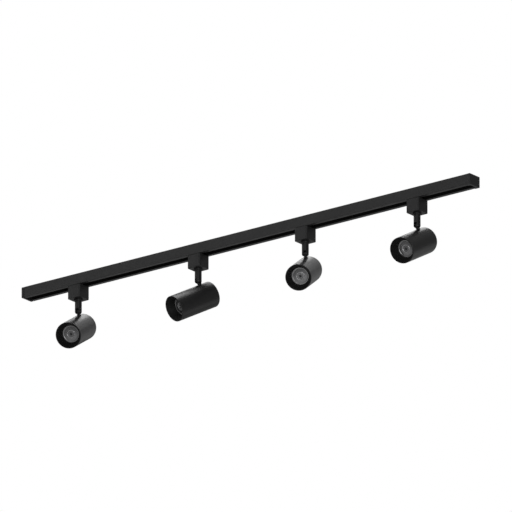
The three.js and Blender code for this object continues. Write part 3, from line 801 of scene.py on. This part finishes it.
@dataclass
class Track:
    """The straight channel, its end caps and what the channel holds."""

    half_width: float = 17.0
    height: float = 23.8
    wall: float = 1.6
    web: float = 2.0
    lip: float = 8.25
    outer_radius: float = 0.6
    inner_radius: float = 0.4
    lip_radius: float = 0.35
    screw_hole_radius: float = 2.25
    screw_hole_pitch: float = 300.0
    screw_holes: int = 4
    feed_hole_radius: float = 6.0
    feed_hole_inset: float = 27.0
    stations: int = 41
    cap_wall: float = 5.0
    cap_radius: float = 0.9
    cap_rim: float = 0.3
    peg_half_width: float = 7.0
    peg_low: float = -9.0
    peg_high: float = -3.0
    peg_length: float = 12.0
    seam: float = 2.0
    seam_depth: float = 1.0
    live_proud: float = 0.7

    def ends(self, node: str) -> tuple[float, float]:
        """The lowest and highest X of a CAD node, in millimetres."""
        low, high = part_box(node)
        return low.x / MM, high.x / MM

    def section(self) -> Array:
        """The channel's outline: web, two sides and two lips, with eased edges.

        Returns:
            The (y, z) points of the closed outline.
        """
        slot = self.half_width - self.lip
        inner = self.half_width - self.wall
        lip_top = self.wall - self.height
        right = [
            [0.0, 0.0], [self.half_width, 0.0], [self.half_width, -self.height],
            [slot, -self.height], [slot, lip_top], [inner, lip_top], [inner, -self.web],
        ]
        radii = [0.0, self.outer_radius, self.outer_radius, self.lip_radius,
                 self.lip_radius, self.inner_radius, self.inner_radius]
        left = [[-y, z] for y, z in right[:0:-1]]
        return rounded(right + left, radii + radii[:0:-1])

    def channel_shape(self, x0: float, x1: float) -> bpy.types.Mesh:
        """Sweeps the section from end to end and bores the fixing and feed holes.

        Args:
            x0: the channel's left end.
            x1: its right end.

        Returns:
            The channel's shape.
        """
        channel = solid(swept(self.section(), np.linspace(x0, x1, self.stations)))
        below = -self.web - THROUGH
        middle = (self.screw_holes - 1) / 2
        tools = [
            bar(self.screw_hole_radius, below, THROUGH, "z",
                ((index - middle) * self.screw_hole_pitch, 0, 0))
            for index in range(self.screw_holes)
        ]
        tools.append(bar(self.feed_hole_radius, below, THROUGH, "z", (x1 - self.feed_hole_inset, 0, 0)))
        return dressed(combine(channel, tools, "DIFFERENCE"))

    def cap_shape(self, length: float, proud: float, seam: float) -> bpy.types.Mesh:
        """Lofts an end cap: an eased block with the slot carried on and a peg inside the channel.

        Its own X points out of the track, with the origin on its outer face.

        Args:
            length: how much of it is outside the channel.
            proud: how far it stands out from the channel.
            seam: length of the sunk band next to the channel, 0 for none.

        Returns:
            The cap's shape.
        """
        half_y = self.half_width + proud
        half_z = (self.height + proud) / 2
        r = self.cap_radius
        angles = np.linspace(math.pi / 2, 0, CORNER_STEPS + 1)
        rows = [(r * math.sin(a) - r, r - r * math.cos(a)) for a in angles]
        if seam > 0:
            rows += [(seam - length, 0.0), (seam - length, self.seam_depth), (-length, self.seam_depth)]
        else:
            rows += [(self.cap_rim - length, 0.0), (-length, self.cap_rim)]
        loops = []
        for x, inset in rows:
            loop = corner_loop(half_y - inset, half_z - inset, r)
            loops.append(np.column_stack([np.full(len(loop), x), loop[:, 0], loop[:, 1] - half_z]))
        slot = self.half_width - self.lip
        notch = brick((-length - THROUGH, -slot, -self.height - proud - THROUGH),
                      (-self.cap_wall, slot, self.peg_low - GAP))
        peg = brick((-length - self.peg_length, -self.peg_half_width, self.peg_low),
                    (-self.cap_wall / 2, self.peg_half_width, self.peg_high))
        cap = combine(solid(np.stack(loops)), [notch], "DIFFERENCE")
        return dressed(combine(cap, [peg], "UNION"))

    def build(self, bench: Bench) -> None:
        """Builds the channel and its caps, and dresses what the channel holds.

        Args:
            bench: places the pieces.
        """
        x0, x1 = self.ends("track_channel")
        here = turned_place((0.0, 0.0, 0.0))
        bench.place("track_body", self.channel_shape(x0, x1), here, "track", TRACK_COAT, "track_channel")
        live_end = self.ends("live_end_cap")[1]
        dead_end = self.ends("dead_end_cap")[0]
        live = self.cap_shape(live_end - x1, self.live_proud, 0.0)
        dead = self.cap_shape(x0 - dead_end, 0.0, self.seam)
        bench.place("live_cap", live, turned_place((live_end, 0, 0)), "track", CASE_PLASTIC, "live_end_cap")
        bench.place("dead_cap", dead, turned_place((dead_end, 0, 0), math.pi), "track", CASE_PLASTIC,
                    "dead_end_cap")
        for node, finish in (
            ("front_insulator", INSULATOR), ("rear_insulator", INSULATOR),
            ("live_conductor", COPPER), ("neutral_conductor", COPPER),
            ("terminal_block", INSULATOR),
        ):
            bench.dress_node(node, finish)


# ------------------------------------------------------------------ the adapters


@dataclass
class Adapter:
    """The twist-lock adapter: the shell under the track and its lock tab.

    Its own axes are the row's, moved along X to the adapter's middle.
    """

    wall: float = 2.2
    floor: float = 3.0
    corner: float = 4.0
    cavity_corner: float = 1.6
    bottom_edge: float = 0.7
    top_edge: float = 0.3
    stem_hole: float = 5.3
    tab_half_width: float = 6.0
    tab_travel: float = 4.2
    tab_flange: float = 1.4
    tab_overhang: float = 1.6
    rib_count: int = 3
    rib_pitch: float = 2.0
    rib_depth: float = 0.7

    def housing_shape(self, half_length: float, half_width: float, bottom: float, top: float,
                      tab_bottom: float) -> bpy.types.Mesh:
        """Lofts the shell as one closed loop of rings: the stem's hole, outside, top and cavity.

        Args:
            half_length: half its size along X.
            half_width: half its size along Y.
            bottom: its lowest Z.
            top: its highest Z.
            tab_bottom: the lock tab's lowest Z, which sets the window's size.

        Returns:
            The shell's shape.
        """
        in_x, in_y = half_length - self.wall, half_width - self.wall
        hole, e, t = self.stem_hole, self.bottom_edge, self.top_edge
        rows = [(hole, hole, hole, bottom + t), (hole + t, hole + t, hole + t, bottom)]
        for a in np.linspace(0, math.pi / 2, CORNER_STEPS + 1):
            inset = e - e * math.sin(a)
            rows.append((half_length - inset, half_width - inset, self.corner - inset,
                         bottom + e - e * math.cos(a)))
        rows += [
            (half_length, half_width, self.corner, top - t),
            (half_length - t, half_width - t, self.corner - t, top),
            (in_x, in_y, self.cavity_corner, top),
            (in_x, in_y, self.cavity_corner, bottom + self.floor),
            (hole, hole, hole, bottom + self.floor),
        ]
        half_window = self.tab_half_width + GAP
        window = brick((-half_length - THROUGH, -half_window, tab_bottom - self.tab_travel - GAP),
                       (-in_x + THROUGH, half_window, top + THROUGH))
        return dressed(combine(solid(lofted(rows, 10), End.LOOP), [window], "DIFFERENCE"))

    def tab_shape(self, x0: float, x1: float, z0: float, z1: float, flange_top: float) -> bpy.types.Mesh:
        """Carries the lock tab's outline across the adapter and adds the flange that holds it in.

        The grip is a cosine wave: depth * (1 - cos(2 pi n t)) / 2 into the outer face.

        Args:
            x0: the outer face.
            x1: the inner face.
            z0: the bottom.
            z1: the top of the tongue.
            flange_top: the top of the flange.

        Returns:
            The tab's shape.
        """
        share = np.linspace(0, 1, 8 * self.rib_count + 1)
        wave = (1 - np.cos(2 * math.pi * self.rib_count * share)) / 2
        grip = np.column_stack([x0 + self.rib_depth * wave,
                                z0 + 1.0 + self.rib_count * self.rib_pitch * share])
        outline = np.concatenate([
            [[x0 + 0.3, z0], [x0, z0 + 0.3]], grip, [[x0, z1 - 0.5], [x0 + 0.5, z1], [x1, z1], [x1, z0]],
        ])
        grid = np.empty((2, len(outline), 3))
        grid[..., 0] = outline[:, 0]
        grid[..., 1] = np.array([[-self.tab_half_width], [self.tab_half_width]])
        grid[..., 2] = outline[:, 1]
        half_flange = self.tab_half_width + self.tab_overhang
        flange = brick((x1 - self.tab_flange, -half_flange, z0), (x1, half_flange, flange_top))
        return dressed(combine(solid(grid), [flange], "UNION"))

    def build(self, units: Sequence[Unit], bench: Bench) -> None:
        """Builds every unit's adapter and dresses what it holds.

        Args:
            units: the lighting units.
            bench: places the pieces.
        """
        low, high = units[0].box("adapter_housing")
        tab_low, tab_high = units[0].box("lock_tab")
        middle = (low[0] + high[0]) / 2
        housing = self.housing_shape((high[0] - low[0]) / 2, high[1], low[2], high[2], tab_low[2])
        tab = self.tab_shape(tab_low[0] - middle, tab_high[0] - middle, tab_low[2], tab_high[2],
                             high[2] - GAP)
        for unit in units:
            here = turned_place((unit.pivot[0], 0.0, 0.0))
            bench.place(unit.named("adapter_shell"), housing, here, unit.named("adapter"), CASE_PLASTIC,
                        unit.named("adapter_housing"))
            bench.place(unit.named("lock_slider"), tab, here, unit.named("lock"), CASE_PLASTIC,
                        unit.named("lock_tab"))
            bench.dress_node(unit.named("adapter_plug"), INSULATOR)
            bench.dress_node(unit.named("live_contact"), COPPER)
            bench.dress_node(unit.named("neutral_contact"), COPPER)


# ------------------------------------------------------------------ the stems


@dataclass
class Stem:
    """The stem: a spigot in the adapter, a collar, a round rod and a fork with its screw.

    Its own axes have their origin on the tilt axis, which is their Y.
    """

    radius: float = 7.5
    bore: float = 2.2
    end_radius: float = 4.0
    below_pivot: float = 5.25
    collar_radius: float = 9.5
    collar_height: float = 3.5
    spigot_radius: float = 5.0
    flange_radius: float = 7.5
    flange_height: float = 2.5
    floor: float = 3.0
    slot_half_width: float = 3.4
    eye_radius: float = 4.5
    eye_clearance: float = 0.5
    screw_radius: float = 1.8
    screw_head_radius: float = 2.9
    screw_head_height: float = 1.4
    screw_head_sink: float = 0.6
    screw_end_sink: float = 0.8
    socket_half: float = 1.25
    socket_depth: float = 1.0

    def rod_shape(self, bottom: float) -> bpy.types.Mesh:
        """Turns the rod with its collar and spigot, then cuts the fork's slot and screw seats.

        Args:
            bottom: the adapter's bottom face above the tilt axis.

        Returns:
            The rod's shape.
        """
        collar_top = bottom - GAP
        collar_low = collar_top - self.collar_height
        flange_low = bottom + self.floor + GAP
        flange_top = flange_low + self.flange_height
        corners = [
            [self.bore, -self.below_pivot], [self.radius, -self.below_pivot], [self.radius, collar_low],
            [self.collar_radius, collar_low], [self.collar_radius, collar_top],
            [self.spigot_radius, collar_top], [self.spigot_radius, flange_low],
            [self.flange_radius, flange_low], [self.flange_radius, flange_top],
            [self.bore, flange_top],
        ]
        radii = [0.0, self.end_radius, 0.5, 0.8, 0.3, 0.0, 0.0, 0.3, 0.3, 0.3]
        rod = solid(turned(rounded(corners, radii), FINE_ROUND), End.LOOP)
        reach = 2 * self.radius
        slot = brick((-reach, -self.slot_half_width, -reach),
                     (reach, self.slot_half_width, self.eye_radius + self.eye_clearance))
        seat = self.radius - self.screw_head_sink - self.screw_head_height - GAP
        hole = bar(self.screw_radius + GAP, -reach, reach, "y")
        sink = bar(self.screw_head_radius + GAP, seat, reach, "y")
        return dressed(combine(rod, [slot, hole, sink], "DIFFERENCE"))

    def screw_shape(self) -> bpy.types.Mesh:
        """Turns the hinge screw: a six-sided socket in a round head on a plain shank.

        The socket's radius at an angle is half its width over the cosine of the angle to
        the middle of the nearest flat.

        Returns:
            The screw's shape.
        """
        top = self.radius - self.screw_head_sink
        head_low = top - self.screw_head_height
        end = -self.radius + self.screw_end_sink
        outline = rounded([
            [self.socket_half * 1.25, top], [self.screw_head_radius, top],
            [self.screw_head_radius, head_low], [self.screw_radius, head_low],
            [self.screw_radius, end], [0.2, end],
        ], [0.0, 0.35, 0.1, 0.15, 0.4, 0.0], closed=False)
        round_part = turned(np.concatenate([outline, [[0.0, end]]]), SMALL_ROUND, "y")
        angle = (np.arange(SMALL_ROUND) + 0.5) * 2 * math.pi / SMALL_ROUND
        sixth = math.pi / 3
        reach = self.socket_half / np.cos((angle + sixth / 2) % sixth - sixth / 2)
        share = np.array([[0.0], [1.0], [1.0]])
        socket = np.empty((3, SMALL_ROUND, 3))
        socket[..., 0] = share * reach * np.sin(angle)
        socket[..., 1] = np.array([[top - self.socket_depth], [top - self.socket_depth], [top]])
        socket[..., 2] = share * reach * np.cos(angle)
        return dressed(solid(np.concatenate([socket, round_part]), End.POLE))

    def build(self, units: Sequence[Unit], bench: Bench) -> None:
        """Builds every unit's rod and screw.

        Args:
            units: the lighting units.
            bench: places the pieces.
        """
        rod = self.rod_shape(units[0].box("adapter_housing")[0][2] - units[0].pivot[2])
        screw = self.screw_shape()
        for unit in units:
            bench.place(unit.named("stem_rod"), rod, unit.upright(), unit.named("stem"), STEM_COAT,
                        unit.named("stem"))
            bench.place(unit.named("tilt_screw"), screw, unit.upright(), unit.named("stem"), BLACK_STEEL,
                        unit.named("hinge_screw"))


# ------------------------------------------------------------------ the spot heads


@dataclass
class SpotHead:
    """The spot head: hinge arm, tube, rear cap, baffle and lens.

    The turned shapes have X forward along the tube's axis, level with the tilt axis at
    X = 0, and the arm has its origin on the tilt axis.
    """

    radius: float = 28.75
    bore: float = 27.0
    length: float = 105.0
    rear_overhang: float = 17.3
    wall: float = 2.0
    rear_edge: float = 1.0
    front_edge: float = 0.5
    pivot_to_tube: float = 8.0
    pivot_to_axis: float = 37.0
    bulkhead_depth: float = 42.0
    bulkhead: float = 3.0
    wire_hole: float = 3.0
    eye_radius: float = 4.5
    tongue_half: float = 3.1
    neck_half: float = 4.0
    foot_radius: float = 4.6
    foot_height: float = 0.5
    foot_edge: float = 0.35
    foot_flare: float = 0.2
    eye_tip: float = 0.45
    eye_corner: float = 0.4
    neck_corner: float = 0.6
    spigot_radius: float = 2.5
    spigot_length: float = 4.0
    screw_radius: float = 1.8
    cap_sink: float = 0.5
    cap_thickness: float = 2.5
    cap_skirt: float = 5.0
    cap_skirt_wall: float = 1.8
    cap_rim: float = 4.0
    cap_groove: float = 1.2
    cap_disc_sink: float = 0.4
    cap_groove_sink: float = 0.9
    aperture: float = 18.3
    lens_recess: float = 17.5
    lens_seat: float = 1.7
    lens_edge: float = 2.5
    lens_length: float = 13.0
    lens_back: float = 8.0
    baffle_sink: float = 1.2
    baffle_wall: float = 1.2
    baffle_skirt: float = 5.0
    baffle_ribs: int = 14
    baffle_rib_height: float = 0.10

    @property
    def rear(self) -> float:
        """The tube's rear end along the head's axis."""
        return -self.rear_overhang

    @property
    def front(self) -> float:
        """The tube's front rim along the head's axis."""
        return self.length - self.rear_overhang

    @property
    def fit(self) -> float:
        """The radius of the pieces that sit in the bore."""
        return self.bore - GAP

    def tube_shape(self) -> bpy.types.Mesh:
        """Turns the tube with its bulkhead, then bores the arm's hole.

        Returns:
            The tube's shape.
        """
        wall_front = self.front - self.bulkhead_depth
        wall_rear = wall_front - self.bulkhead
        corners = [
            [self.bore, self.rear], [self.radius, self.rear], [self.radius, self.front],
            [self.bore, self.front], [self.bore, wall_front], [self.wire_hole, wall_front],
            [self.wire_hole, wall_rear], [self.bore, wall_rear],
        ]
        radii = [0.3, self.rear_edge, self.front_edge, self.front_edge, 0.5, 0.2, 0.2, 0.5]
        tube = solid(turned(rounded(corners, radii), ROUND, "x"), End.LOOP)
        hole = bar(self.spigot_radius + GAP, self.bore / 2, self.radius + THROUGH, "z")
        return dressed(combine(tube, [hole], "DIFFERENCE"))

    def arm_shape(self) -> bpy.types.Mesh:
        """Lofts the hinge arm from its round eye down to a foot that follows the tube.

        In the eye a ring's half length is sqrt(R^2 - z^2). Below it the half length eases
        to the neck and then flares to the foot, whose last ring drops onto the tube's
        circle: z = -(pivot to axis) + sqrt(R^2 - y^2).

        Returns:
            The arm's shape.
        """
        foot_z = -self.pivot_to_tube + GAP
        flare_z = foot_z + self.foot_height + self.foot_flare
        edge = self.foot_edge
        rows = []
        for a in np.linspace(math.pi / 2, -0.45, 14):
            rows.append((max(self.eye_radius * math.cos(a), self.eye_tip), self.tongue_half,
                         self.eye_corner, self.eye_radius * math.sin(a)))
        for share in np.linspace(0, 1, 7):
            ease = share * share
            half_x = self.neck_half + (self.foot_radius - self.neck_half) * ease
            half_y = self.tongue_half + (self.foot_radius - self.tongue_half) * ease
            radius = self.neck_corner + (self.foot_radius - self.neck_corner) * share
            rows.append((half_x, half_y, min(radius, half_x, half_y),
                         flare_z + (foot_z + edge - flare_z) * share))
        steps = 10
        grid = lofted(rows, steps)
        foot = grid[-1].copy()
        foot[:, 2] = -self.pivot_to_axis + np.sqrt((self.radius + GAP) ** 2 - foot[:, 1] ** 2)
        grid[-1, :, 2] = foot[:, 2] + edge
        spigot = lofted([(self.spigot_radius, self.spigot_radius, self.spigot_radius, z)
                         for z in (foot_z - edge, foot_z - self.wall - self.spigot_length)], steps)
        arm = solid(np.concatenate([grid, foot[None], spigot]))
        hole = bar(self.screw_radius + GAP, -3 * self.tongue_half, 3 * self.tongue_half, "y")
        return dressed(combine(arm, [hole], "DIFFERENCE"))

    def cover_shape(self) -> bpy.types.Mesh:
        """Turns the rear cap: a rim, a sunk disc and a skirt inside the tube.

        Returns:
            The cap's shape.
        """
        outside = self.rear + self.cap_sink
        inside = outside + self.cap_thickness
        skirt = inside + self.cap_skirt
        fit = self.fit
        groove = fit - self.cap_rim
        disc, trough = outside + self.cap_disc_sink, outside + self.cap_groove_sink
        inner = fit - self.cap_skirt_wall
        outline = rounded([
            [0.3, disc], [groove - self.cap_groove, disc], [groove - self.cap_groove, trough],
            [groove, trough], [groove, outside], [fit, outside], [fit, skirt],
            [inner, skirt], [inner, inside], [0.3, inside],
        ], [0.0, 0.15, 0.15, 0.15, 0.2, 0.4, 0.3, 0.3, 0.5, 0.0], closed=False)
        profile = np.concatenate([[[0.0, disc]], outline, [[0.0, inside]]])
        return dressed(solid(turned(profile, ROUND, "x"), End.POLE))

    def baffle_shape(self) -> bpy.types.Mesh:
        """Turns the anti-glare cone, with fine rings along its face.

        The face runs straight from the throat to the mouth, and the rings take
        height * |sin| off its radius.

        Returns:
            The cone's shape.
        """
        mouth = self.front - self.baffle_sink
        throat = self.front - self.lens_recess
        share = np.linspace(0, 1, self.baffle_ribs * 8 + 1)
        rings = self.baffle_rib_height * np.abs(np.sin(math.pi * self.baffle_ribs * share))
        fit = self.fit
        inner = fit - self.baffle_wall
        face = np.column_stack([
            self.aperture + (inner - self.aperture) * share - rings,
            throat + (mouth - throat) * share,
        ])
        back = np.array([
            [fit - 0.3, mouth], [fit, mouth - 0.3], [fit, mouth - self.baffle_skirt],
            [inner, mouth - self.baffle_skirt], [inner, mouth - self.baffle_skirt + self.baffle_wall],
            [self.aperture + self.baffle_wall, throat],
        ])
        return dressed(solid(turned(np.concatenate([face, back]), ROUND, "x"), End.LOOP), 40.0)

    def lens_shape(self) -> bpy.types.Mesh:
        """Turns the lens: a centre well, a raised ring, a shallow bowl and a flat flange.

        Each point also carries its share of the lens's radius, for the rings of painted light and shade in
        its material.

        Returns:
            The lens's shape.
        """
        front = self.front - self.lens_recess - GAP
        edge = self.aperture + self.lens_seat
        back = front - self.lens_length
        outline = rounded([
            [0.2, front - 1.2], [2.4, front - 1.0], [3.2, front + 0.1], [6.6, front + 0.1],
            [7.4, front + 0.8], [8.6, front + 0.8], [9.6, front - 0.1], [15.8, front - 0.5],
            [16.6, front], [edge, front], [edge, front - self.lens_edge],
            [self.aperture, front - self.lens_edge], [self.lens_back, back], [0.2, back],
        ], [0.0, 0.4, 0.3, 0.4, 0.3, 0.3, 0.5, 0.4, 0.3, 0.3, 0.3, 0.4, 0.6, 0.0], closed=False)
        profile = np.concatenate([[[0.0, front - 1.2]], outline, [[0.0, back]]])
        shape = dressed(solid(turned(profile, ROUND, "x"), End.POLE))
        points = np.empty(3 * len(shape.vertices), np.float32)
        shape.vertices.foreach_get("co", points)
        share = np.linalg.norm(points.reshape(-1, 3)[:, 1:], axis=1) / edge
        shape.attributes.new(RING_ATTRIBUTE, "FLOAT", "POINT").data.foreach_set("value", share)
        return shape

    def build(self, units: Sequence[Unit], bench: Bench) -> None:
        """Builds every unit's head and dresses its light source.

        Args:
            units: the lighting units.
            bench: places the pieces.
        """
        on_axis = (0.0, 0.0, -self.pivot_to_axis)
        on_pivot = (0.0, 0.0, 0.0)
        for piece, node, shape, finish, offset in (
            ("spot_tube", "head_tube", self.tube_shape(), HEAD_COAT, on_axis),
            ("tilt_arm", "hinge_arm", self.arm_shape(), STEM_COAT, on_pivot),
            ("back_cover", "rear_cap", self.cover_shape(), CASE_PLASTIC, on_axis),
            ("glare_cone", "baffle", self.baffle_shape(), BAFFLE_BLACK, on_axis),
            # the lens's material paints light and shade in rings round its axis
            ("lens_optic", "lens", self.lens_shape(), LENS_PAINTED_LIGHT, on_axis),
        ):
            for unit in units:
                bench.place(unit.named(piece), shape, unit.tilted().moved(offset), unit.named("head"),
                            finish, unit.named(node))
        for unit in units:
            bench.dress_node(unit.named("led_module"), LED_BOARD)


# ------------------------------------------------------------------ the studio


@dataclass(frozen=True)
class SoftLight:
    """One round soft light that faces the middle of the fixture.

    The angles are in degrees, the power in watts, and the size and distance in metres.
    """

    name: str
    azimuth: float
    elevation: float
    power: float
    size: float = 2.2
    distance: float = 4.0

    def build(self, middle: Array) -> None:
        """Adds the light.

        Args:
            middle: the point that it faces, in metres.
        """
        data = bpy.data.lights.new(self.name, "AREA")
        data.shape = "DISK"
        data.size = self.size
        data.energy = self.power
        light = bpy.data.objects.new(self.name, data)
        toward = direction(self.azimuth, self.elevation)
        light.location = Vector(middle + self.distance * toward)
        light.rotation_euler = Vector(-toward).to_track_quat("-Z", "Y").to_euler()
        light.visible_camera = False
        bpy.context.scene.collection.objects.link(light)


def direction(azimuth: float, elevation: float) -> Array:
    """The unit vector towards an azimuth and an elevation.

    Args:
        azimuth: the angle from the front, -Y, towards +X, in degrees.
        elevation: the angle above the horizontal, in degrees.

    Returns:
        The vector.
    """
    a, e = math.radians(azimuth), math.radians(elevation)
    return np.array([math.sin(a) * math.cos(e), -math.cos(a) * math.cos(e), math.sin(e)])


@dataclass
class Studio:
    """The camera, the soft lights, the pale room and its floor."""

    azimuth: float = 37.91
    elevation: float = -19.09
    frame_width: float = 1.098
    lens: float = 1600.0
    sensor: float = 36.0
    aim_right: float = 0.0152
    aim_up: float = -0.0500
    floor_drop: float = 2.2
    floor_half: float = 3.0
    room_light: float = 0.17
    lights: tuple[SoftLight, ...] = (
        SoftLight("overhead", -172.0, 86.0, 46.0, size=2.4),
        SoftLight("rear_left_high", -142.0, 60.0, 29.0),
        SoftLight("rear_left", -145.0, 34.0, 18.0),
        SoftLight("rear", 176.0, 40.0, 4.0, size=2.0),
        SoftLight("rear_left_low", -142.0, -14.0, 2.0),
        SoftLight("front_left", -52.0, 34.0, 19.0),
        SoftLight("front", 8.0, 34.0, 6.0),
        SoftLight("front_right_low", 38.0, -14.0, 28.0),
        SoftLight("front_right", 38.0, 8.0, 6.0),
        SoftLight("right_low", 68.0, -14.0, 14.0),
        SoftLight("rear_low", -168.0, 10.0, 3.5, size=2.4),
        SoftLight("rear_right_low", 155.0, -14.0, 5.0),
    )

    def build_camera(self) -> None:
        """Stands a very long lens far off, so that the view is all but parallel."""
        toward = direction(self.azimuth, self.elevation)
        turn = math.radians(self.azimuth)
        right = np.array([math.cos(turn), math.sin(turn), 0.0])
        up = np.cross(toward, right)
        distance = self.frame_width * self.lens / self.sensor
        data = bpy.data.cameras.new("camera")
        data.lens = self.lens
        data.sensor_width = self.sensor
        data.clip_start = distance / 10
        data.clip_end = distance * 3
        camera = bpy.data.objects.new("camera", data)
        camera.location = Vector(self.aim_right * right + self.aim_up * up + distance * toward)
        camera.rotation_euler = Vector(-toward).to_track_quat("-Z", "Y").to_euler()
        bpy.context.scene.collection.objects.link(camera)
        bpy.context.scene.camera = camera

    def build_room(self) -> None:
        """A white surround for the camera and an even, dimmer one for the light on the object."""
        world = bpy.data.worlds.new("room")
        world.use_nodes = True
        tree = world.node_tree
        tree.nodes.clear()
        output = tree.nodes.new("ShaderNodeOutputWorld")
        mix = tree.nodes.new("ShaderNodeMixShader")
        path = tree.nodes.new("ShaderNodeLightPath")
        room = tree.nodes.new("ShaderNodeBackground")
        white = tree.nodes.new("ShaderNodeBackground")
        room.inputs["Strength"].default_value = self.room_light
        for background in (room, white):
            background.inputs["Color"].default_value = (1.0, 1.0, 1.0, 1.0)
        tree.links.new(path.outputs["Is Camera Ray"], mix.inputs["Fac"])
        tree.links.new(room.outputs["Background"], mix.inputs[1])
        tree.links.new(white.outputs["Background"], mix.inputs[2])
        tree.links.new(mix.outputs["Shader"], output.inputs["Surface"])
        bpy.context.scene.world = world

    def build_floor(self) -> None:
        """A pale floor under the fixture that lets a view from beneath it through."""
        half = self.floor_half
        corners = [(-half, -half), (half, -half), (half, half), (-half, half)]
        mesh = bpy.data.meshes.new("floor")
        mesh.from_pydata([(x, y, -self.floor_drop) for x, y in corners], [], [(0, 1, 2, 3)])
        floor = bpy.data.objects.new("floor", mesh)
        bpy.context.scene.collection.objects.link(floor)
        graph = Graph("pale_floor")
        shade_noise = graph.noise(2.0, 3.0)
        colour = graph.ramp(shade_noise, [(NOISE_LOW, (0.80, 0.80, 0.80)), (NOISE_HIGH, (0.83, 0.83, 0.83))])
        graph.link(colour, graph.shader.inputs["Base Color"])
        graph.plain(Roughness=0.8, Specular_IOR_Level=0.2)
        tree = graph.tree
        clear = tree.nodes.new("ShaderNodeBsdfTransparent")
        side = tree.nodes.new("ShaderNodeNewGeometry")
        mix = tree.nodes.new("ShaderNodeMixShader")
        output = next(node for node in tree.nodes if node.type == "OUTPUT_MATERIAL")
        tree.links.new(side.outputs["Backfacing"], mix.inputs["Fac"])
        tree.links.new(graph.shader.outputs["BSDF"], mix.inputs[1])
        tree.links.new(clear.outputs["BSDF"], mix.inputs[2])
        tree.links.new(mix.outputs["Shader"], output.inputs["Surface"])
        mesh.materials.append(graph.material)

    def build(self) -> None:
        """Builds the whole studio and keeps greys as they are lit."""
        self.build_camera()
        self.build_room()
        self.build_floor()
        low, high = CAD_BOUNDS
        middle = (np.array(low) + np.array(high)) / 2
        for light in self.lights:
            light.build(middle)
        bpy.context.scene.view_settings.view_transform = "Standard"


# ------------------------------------------------------------------ all together


def lighting_units() -> list[Unit]:
    """The lighting units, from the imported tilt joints.

    A tilt axis (sin h, -cos h, 0) belongs to a spot that aims along the heading h, and a
    joint's upper limit brings the spot level, so it is also how far the spot aims down.

    Returns:
        One unit for each tilt joint, in the order of the joints.
    """
    units = []
    for joint in frame["joints"]:
        word, number, motion = (joint["name"].split("_") + ["", ""])[:3]
        if word == "head" and motion == "tilt":
            pivot = tuple(value / MM for value in joint["pos_m"])
            heading = math.atan2(joint["axis"][0], -joint["axis"][1])
            units.append(Unit(int(number), pivot, heading, math.radians(joint["range_deg"][1])))
    return units


def main() -> None:
    """Builds the studio, the track, and each unit's adapter, stem and spot head."""
    logging.basicConfig(level=logging.INFO, format="%(name)s: %(message)s")
    Studio().build()
    bench = Bench()
    units = lighting_units()
    Track().build(bench)
    Adapter().build(units, bench)
    Stem().build(units, bench)
    SpotHead().build(units, bench)


if __name__ == "__main__":
    main()
